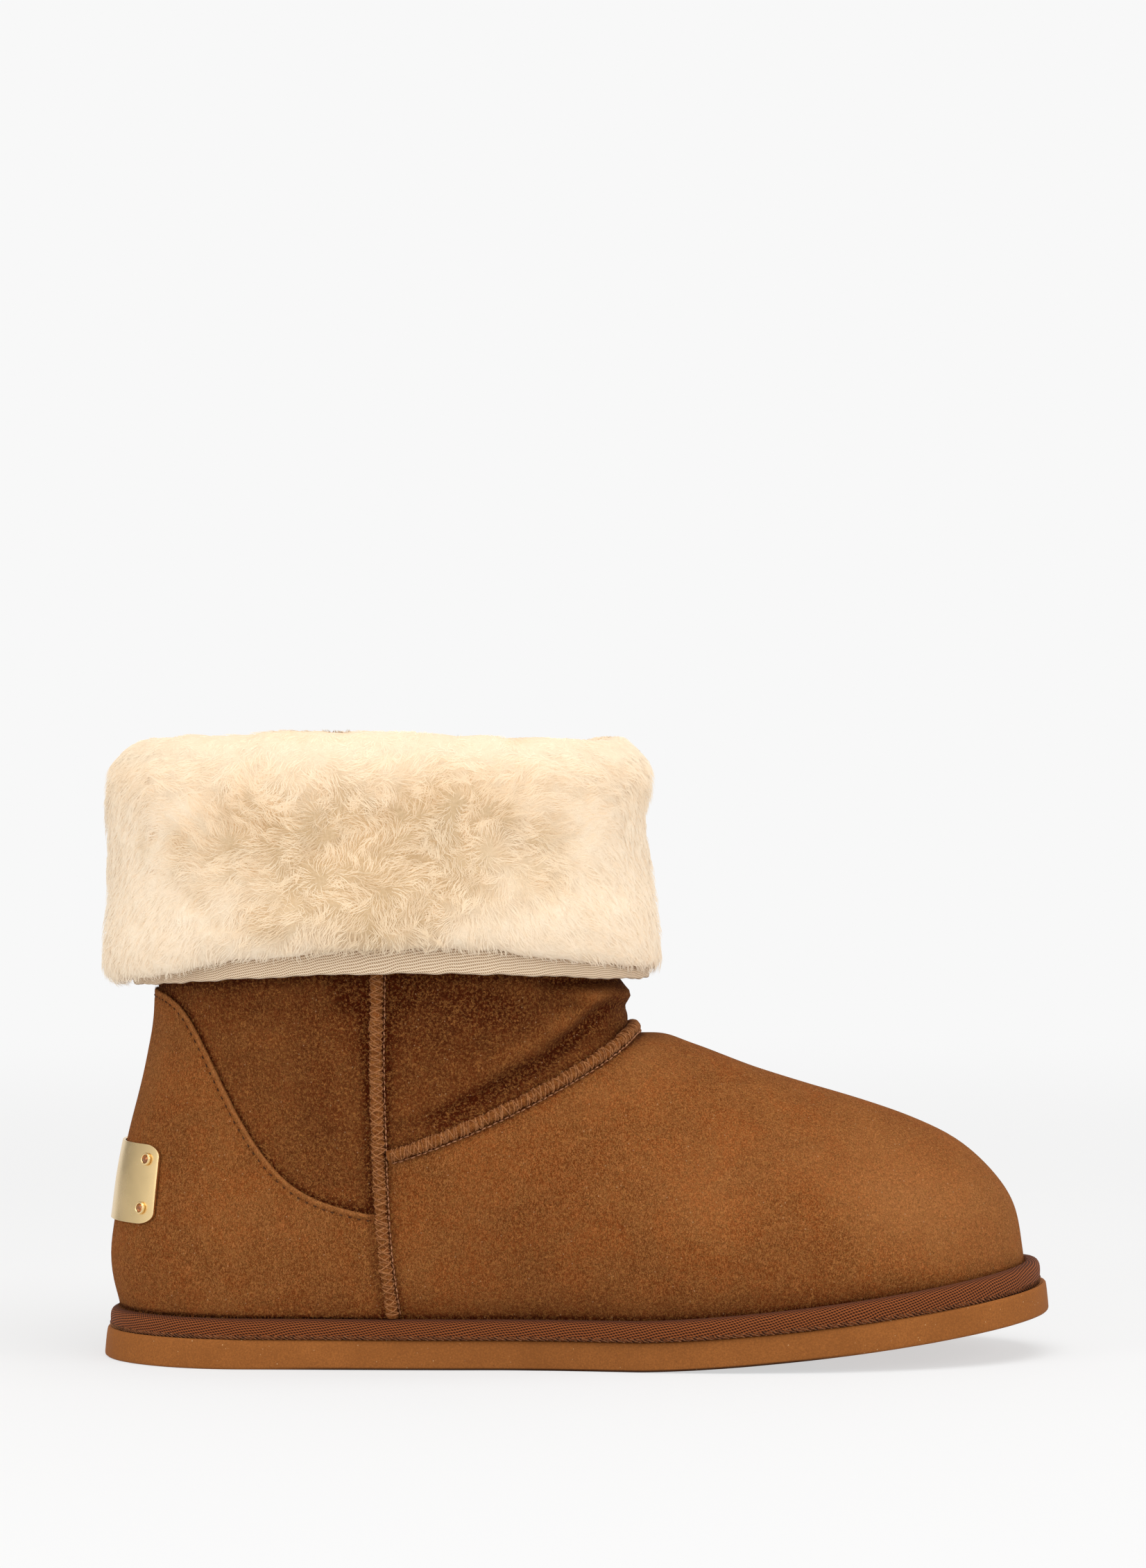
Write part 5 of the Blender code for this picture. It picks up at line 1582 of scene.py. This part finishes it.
def make_stones():
    """Four turned bezels on the plate, each with a faceted stone."""
    collar = ((0, 0), (1.66, 0.0), (1.8, 0.1), (1.82, 0.4), (1.74, 0.72), (1.56, 0.92), (1.38, 0.92),
              (1.24, 0.78), (1.18, 0.5), (1.15, 0.36), (0, 0.34))
    cut = ((0, 0.38), (1.12, 0.52), (1.1, 0.64), (0.86, 0.84), (0.55, 0.94), (0, 0.95))
    number = 0
    for side in (-1, 1):
        for x, z in STONES:
            number += 1
            phi, level = place_at(x, z, side, 2.5)
            normal = last_normal(phi, level)[0]
            place = on_suede(phi, level, PLATE_OUT + PLATE_THICKNESS + 0.02)[0]
            for node, profile, count, twist, slot, finish in (
                ("bezel", collar, 36, 0.0, "gilt", gilt_finish),
                ("stone", cut, 10, math.pi / 10, "amber", amber_finish),
            ):
                points, faces = turned(profile, count, place, normal, twist)
                material, node = finish_once(slot, finish), f"{node}_{number}"
                piece = add_piece(f"{node}_{slot}", points, faces, material, (node,))
            piece.data.shade_flat()


# ---------------------------------------------------------------- stage


WHITE = (1, 1, 1, 1)
FLOOR_RADIUS, CARD_RADIUS, CARD_X = 2.2, 1.6, -0.13  # the stage's sizes are in metres
CAMERA_AWAY, CAMERA_TILT, AIM_HEIGHT = 1.5, math.radians(4), 0.09


def make_floor():
    """A round floor that sweeps up into a wall: a profile of radii and heights turned about the
    middle. Its paper fades to black and its glow rises to the wall's with the distance away."""
    s = bpy.context.scene.boot_stage
    profile = (  # radius, height
        (0.02, 0.0), (0.5, 0.0), (1.2, 0.0), (FLOOR_RADIUS, 0.0), (2.7, 0.06), (3.0, 0.3), (3.15, 0.8),
        (3.2, 1.5), (3.2, 2.2),
    )
    rows, columns = 60, 72
    radius, z = (column[:, None] for column in splined(profile, np.linspace(0, len(profile) - 1, rows)))
    z = np.where(radius < FLOOR_RADIUS, 0, np.maximum(z, 0))
    turn = circle(columns)[None, :]
    points = np.stack(np.broadcast_arrays(radius * np.cos(turn), radius * np.sin(turn), z), -1)
    faces, _, _ = grid_faces(rows, columns, close_columns=True)
    mesh = bpy.data.meshes.new("sweep")
    faces = faces[:, ::-1].tolist() + [list(range(columns))]
    mesh.from_pydata(points.reshape(-1, 3).tolist(), [], faces)
    mesh.shade_smooth()
    finish = Finish("sweep_paper", roughness=1.0, specular_ior_level=0.0, emission_color=WHITE)
    place = finish.node("ShaderNodeSeparateXYZ")
    finish.feed(place.inputs[0], finish.where)
    x, y, _ = place.outputs
    away = finish.math("SQRT", finish.math("MULTIPLY_ADD", x, x, finish.math("MULTIPLY", y, y)))
    wall = finish.span(away, 0.3, 1.35)
    lit = finish.math("MULTIPLY_ADD", wall, s.wall - s.table, s.table)
    finish.feed(finish.shader.inputs["Emission Strength"], lit)
    mesh.materials.append(finish.done(finish.mix(wall, rgb(s.paper), (0.0, 0.0, 0.0))))
    sweep = put("sweep", mesh)


def make_card():
    """A tall curved card beyond the heel for the gilt to mirror, hidden from the camera itself: its
    glow grows evenly from one end to the other."""
    columns = 24
    turn = np.linspace(math.radians(142), math.radians(84), columns)[None, :]
    high = np.array([0.0, 1.15])[:, None]
    x, y = CARD_X - CARD_RADIUS * np.sin(turn), -CARD_RADIUS * np.cos(turn)
    points = np.stack(np.broadcast_arrays(x, y, high), -1).reshape(-1, 3)
    card = bpy.data.meshes.new("card")
    card.from_pydata(points.tolist(), [], grid_faces(2, columns)[0].tolist())
    glow = card.attributes.new("glow", "FLOAT", "POINT")
    glow.data.foreach_set("value", np.tile(np.linspace(0.22, 0.80, columns), 2).astype(np.float32))
    black = Finish("card_grey", roughness=1.0, specular_ior_level=0.0, emission_color=WHITE)
    black.feed(black.shader.inputs["Emission Strength"], black.value("glow"))
    card.materials.append(black.done((0.0, 0.0, 0.0, 1)))
    flag = put("card", card)
    flag.visible_camera = False


def make_lights():
    """A faintly warm light from overhead, and three soft panels turned to the boot."""
    s = bpy.context.scene.boot_stage
    world = bpy.data.worlds.new("studio")
    world.use_nodes = True
    colour, strength = world.node_tree.nodes["Background"].inputs[:2]
    colour.default_value, strength.default_value = (1.0, 0.985, 0.965, 1), s.ambient
    bpy.context.scene.world = world
    for name, place, target, wide, power in (
        ("panel_top", (0.1, -0.5, 1.7), (0.0, 0.0, 0.08), 1.5, s.top),
        ("panel_left", (-1.5, -1.1, 0.8), (0.0, 0.0, 0.09), 0.9, s.left),
        ("panel_right", (1.7, -0.9, 0.9), (0.02, 0.0, 0.06), 1.0, s.right),
    ):
        light = bpy.data.lights.new(name, "AREA")
        light.shape, light.size, light.energy = "SQUARE", wide, power
        lamp = put(name, light)
        x, y, z = np.array(target) - np.array(place)
        yaw, pitch = math.atan2(y, x) - math.pi / 2, math.atan2(z, math.hypot(x, y))
        lamp.location, lamp.rotation_euler = place, (math.pi / 2 + pitch, 0, yaw)


def make_camera():
    """A long lens, a little above the boot's middle and tilted down to it."""
    camera = bpy.data.cameras.new("camera")
    camera.lens, camera.sensor_width = 120.4, 36.0
    camera.shift_x, camera.shift_y = -0.0019, 0.1637
    eye = put("camera", camera)
    back, rise = CAMERA_AWAY * math.cos(CAMERA_TILT), CAMERA_AWAY * math.sin(CAMERA_TILT)
    eye.location = (0, -back, AIM_HEIGHT + rise)
    eye.rotation_euler = (math.pi / 2 - CAMERA_TILT, 0, 0)
    scene = bpy.context.scene
    scene.camera = eye
    scene.view_settings.view_transform = "Standard"
    scene.view_settings.look = "None"


# ---------------------------------------------------------------- settings


def colour_of(name, description, value):
    return FloatVectorProperty(
        name=name, description=description, default=value, subtype="COLOR", min=0, max=1
    )


def number_of(name, description, value, **settings):
    return FloatProperty(name=name, description=description, default=value, min=0, **settings)


def length_of(name, description, value):
    return number_of(name, description, value, unit="LENGTH", precision=5)


def power_of(name, description, value):
    return number_of(name, description, value, unit="POWER")


def count_of(name, description, value):
    return IntProperty(name=name, description=description, default=value, min=100)


class BootSuede(bpy.types.PropertyGroup):
    colour: colour_of("Colour", "The suede's middle brown", (0.272, 0.0895, 0.0215))
    shade: colour_of("Shade", "The suede where its nap lies away from the light", (0.130, 0.034, 0.0064))
    # The nap colour is also the colour of the painted highlight
    light: colour_of("Nap", "The suede's raised nap", (0.46, 0.185, 0.060))
    fleck: colour_of("Fibres", "Loose curled fibres on the nap", (0.42, 0.17, 0.045))
    nap: length_of("Nap depth", "Depth of the nap's relief", 0.00022)
    thickness: length_of("Skin depth", "Depth of the skin side, behind the deepest fold", 0.0046)


class BootWool(bpy.types.PropertyGroup):
    # Tips, roots and depths grow tan towards the skin, partly painted shade in place of the strands' shadows;
    # the pale pair paints the cuff's ends, crown and foot lighter, partly painted light
    tip: colour_of("Tips", "Wool tips in the middle of the cuff's sides", (0.86, 0.70, 0.495))
    root: colour_of("Roots", "Wool near the skin there", (0.67, 0.49, 0.30))
    deep: colour_of("Depths", "The wool between the locks there", (0.54, 0.37, 0.205))
    pale: colour_of("Pale tips", "Wool tips at the ends, crown and foot of the cuff", (0.89, 0.745, 0.57))
    pale_root: colour_of("Pale roots", "Wool near the skin there", (0.81, 0.65, 0.465))
    length: length_of("Strand length", "Length of a strand of the cuff's wool", 0.0056)
    width: length_of("Strand width", "Width of a strand at its root", 0.00026)
    strands: count_of("Strands", "Strands tried over the cuff, fewer kept where it is pale", 62000)
    lining_strands: count_of("Lining strands", "Strands inside the mouth", 4200)


class BootTape(bpy.types.PropertyGroup):
    brown: colour_of("Brown", "The sole tape's yarn", (0.315, 0.088, 0.0235))
    brown_shade: colour_of("Brown gaps", "Between the sole tape's yarns", (0.034, 0.009, 0.0025))
    beige: colour_of("Beige", "The cuff tape's yarn", (0.90, 0.715, 0.52))
    beige_shade: colour_of("Beige gaps", "Between the cuff tape's yarns", (0.46, 0.295, 0.165))
    pitch: length_of("Rib spacing", "Distance between two ribs of the twill", 0.00062)


class BootSole(bpy.types.PropertyGroup):
    colour: colour_of("Colour", "The sole's foamed rubber", (0.37, 0.131, 0.031))
    shade: colour_of("Shade", "The rubber's darker clouds", (0.225, 0.075, 0.016))


class BootMetal(bpy.types.PropertyGroup):
    gilt: colour_of("Gilt", "The heel plate and bezels", (0.82, 0.60, 0.30))
    amber: colour_of("Amber", "The stones", (0.75, 0.22, 0.015))


class BootSeam(bpy.types.PropertyGroup):
    thread: colour_of("Thread", "The whipped seam thread", (0.41, 0.175, 0.063))
    shade: colour_of("Thread shade", "The thread's darker twist", (0.21, 0.075, 0.025))


class BootStage(bpy.types.PropertyGroup):
    paper: colour_of("Paper", "The pale floor", (0.27, 0.27, 0.27))
    table: number_of("Table glow", "Light from below the floor's paper", 0.588)
    wall: number_of("Wall", "Brightness of the lit wall", 0.939)
    ambient: number_of("Ambient", "Strength of the light from overhead", 0.45)
    top: power_of("Top panel", "Power of the panel above", 24.0)
    left: power_of("Left panel", "Power of the panel at the left", 7.5)
    right: power_of("Right panel", "Power of the panel at the right", 7.0)


SETTINGS = {
    "boot_suede": BootSuede, "boot_wool": BootWool, "boot_tape": BootTape, "boot_sole": BootSole,
    "boot_metal": BootMetal, "boot_seam": BootSeam, "boot_stage": BootStage,
}


# ---------------------------------------------------------------- operators


class BootOperator:
    """Runs its makers in order; a maker that fails raises, which stops the script."""

    bl_options = {"REGISTER", "UNDO"}
    makers = ()

    def execute(self, context):
        for maker in self.makers:
            maker()
        return {"FINISHED"}


class BuildUpper(BootOperator, bpy.types.Operator):
    """Builds the suede upper with its folds, the nap over its tape, and its wool lining"""

    bl_idname = "boot.build_upper"
    bl_label = "Upper and Lining"
    makers = (make_upper, make_nap_fringe, make_lining)


class BuildCounter(BootOperator, bpy.types.Operator):
    """Builds the heel counter, its row of stitches and its frayed edge"""

    bl_idname = "boot.build_counter"
    bl_label = "Heel Counter"
    makers = (make_counter, make_counter_stitches, make_counter_fray)


class BuildSeams(BootOperator, bpy.types.Operator):
    """Builds the side and instep seams with their threads"""

    bl_idname = "boot.build_seams"
    bl_label = "Seams"
    makers = (make_side_seams, make_instep_seam)


class BuildCuff(BootOperator, bpy.types.Operator):
    """Builds the cuff's wool body and the tape that binds its lower edge"""

    bl_idname = "boot.build_cuff"
    bl_label = "Cuff and Binding"
    makers = (make_cuff, make_binding)


class BuildWool(BootOperator, bpy.types.Operator):
    """Builds the strands of wool on the cuff and inside the mouth"""

    bl_idname = "boot.build_wool"
    bl_label = "Wool Strands"
    makers = (make_cuff_wool, make_lining_wool)


class BuildSole(BootOperator, bpy.types.Operator):
    """Builds the outsole with its tread, and the insole"""

    bl_idname = "boot.build_sole"
    bl_label = "Outsole and Insole"
    makers = (make_outsole, make_insole)


class BuildSoleTape(BootOperator, bpy.types.Operator):
    """Builds the twill tape over the sole's joint and its stitches"""

    bl_idname = "boot.build_sole_tape"
    bl_label = "Sole Tape"
    makers = (make_sole_tape, make_tape_stitches)


class BuildPlate(BootOperator, bpy.types.Operator):
    """Builds the gilt heel plate, its bezels and their stones"""

    bl_idname = "boot.build_plate"
    bl_label = "Heel Plate and Stones"
    makers = (make_plate, make_stones)


class BuildStage(BootOperator, bpy.types.Operator):
    """Builds the floor, the card, the lights and the camera"""

    bl_idname = "boot.build_stage"
    bl_label = "Stage"
    makers = (make_floor, make_card, make_lights, make_camera)


OPERATORS = (
    BuildUpper, BuildCounter, BuildSeams, BuildCuff, BuildWool, BuildSole, BuildSoleTape, BuildPlate,
    BuildStage,
)


class BootPanel(bpy.types.Panel):
    """Lists the boot's pieces and their settings"""

    bl_idname = "VIEW3D_PT_boot"
    bl_label = "Sheepskin Ankle Boot"
    bl_space_type = "VIEW_3D"
    bl_region_type = "UI"
    bl_category = "Boot"

    def draw(self, context):
        for operator in OPERATORS:
            self.layout.operator(operator.bl_idname)
        for key, group in SETTINGS.items():
            box = self.layout.box()
            box.label(text=key.replace("boot_", "").title())
            for field in group.__annotations__:
                box.prop(getattr(context.scene, key), field)


def register():
    for group in (*SETTINGS.values(), *OPERATORS, BootPanel):
        bpy.utils.register_class(group)
    for key, group in SETTINGS.items():
        setattr(bpy.types.Scene, key, PointerProperty(type=group))


def unregister():
    for key in SETTINGS:
        delattr(bpy.types.Scene, key)
    for group in reversed((*SETTINGS.values(), *OPERATORS, BootPanel)):
        bpy.utils.unregister_class(group)


def main():
    register()
    for operator in OPERATORS:
        group, name = operator.bl_idname.split(".")
        getattr(getattr(bpy.ops, group), name)()


if __name__ == "__main__":
    main()
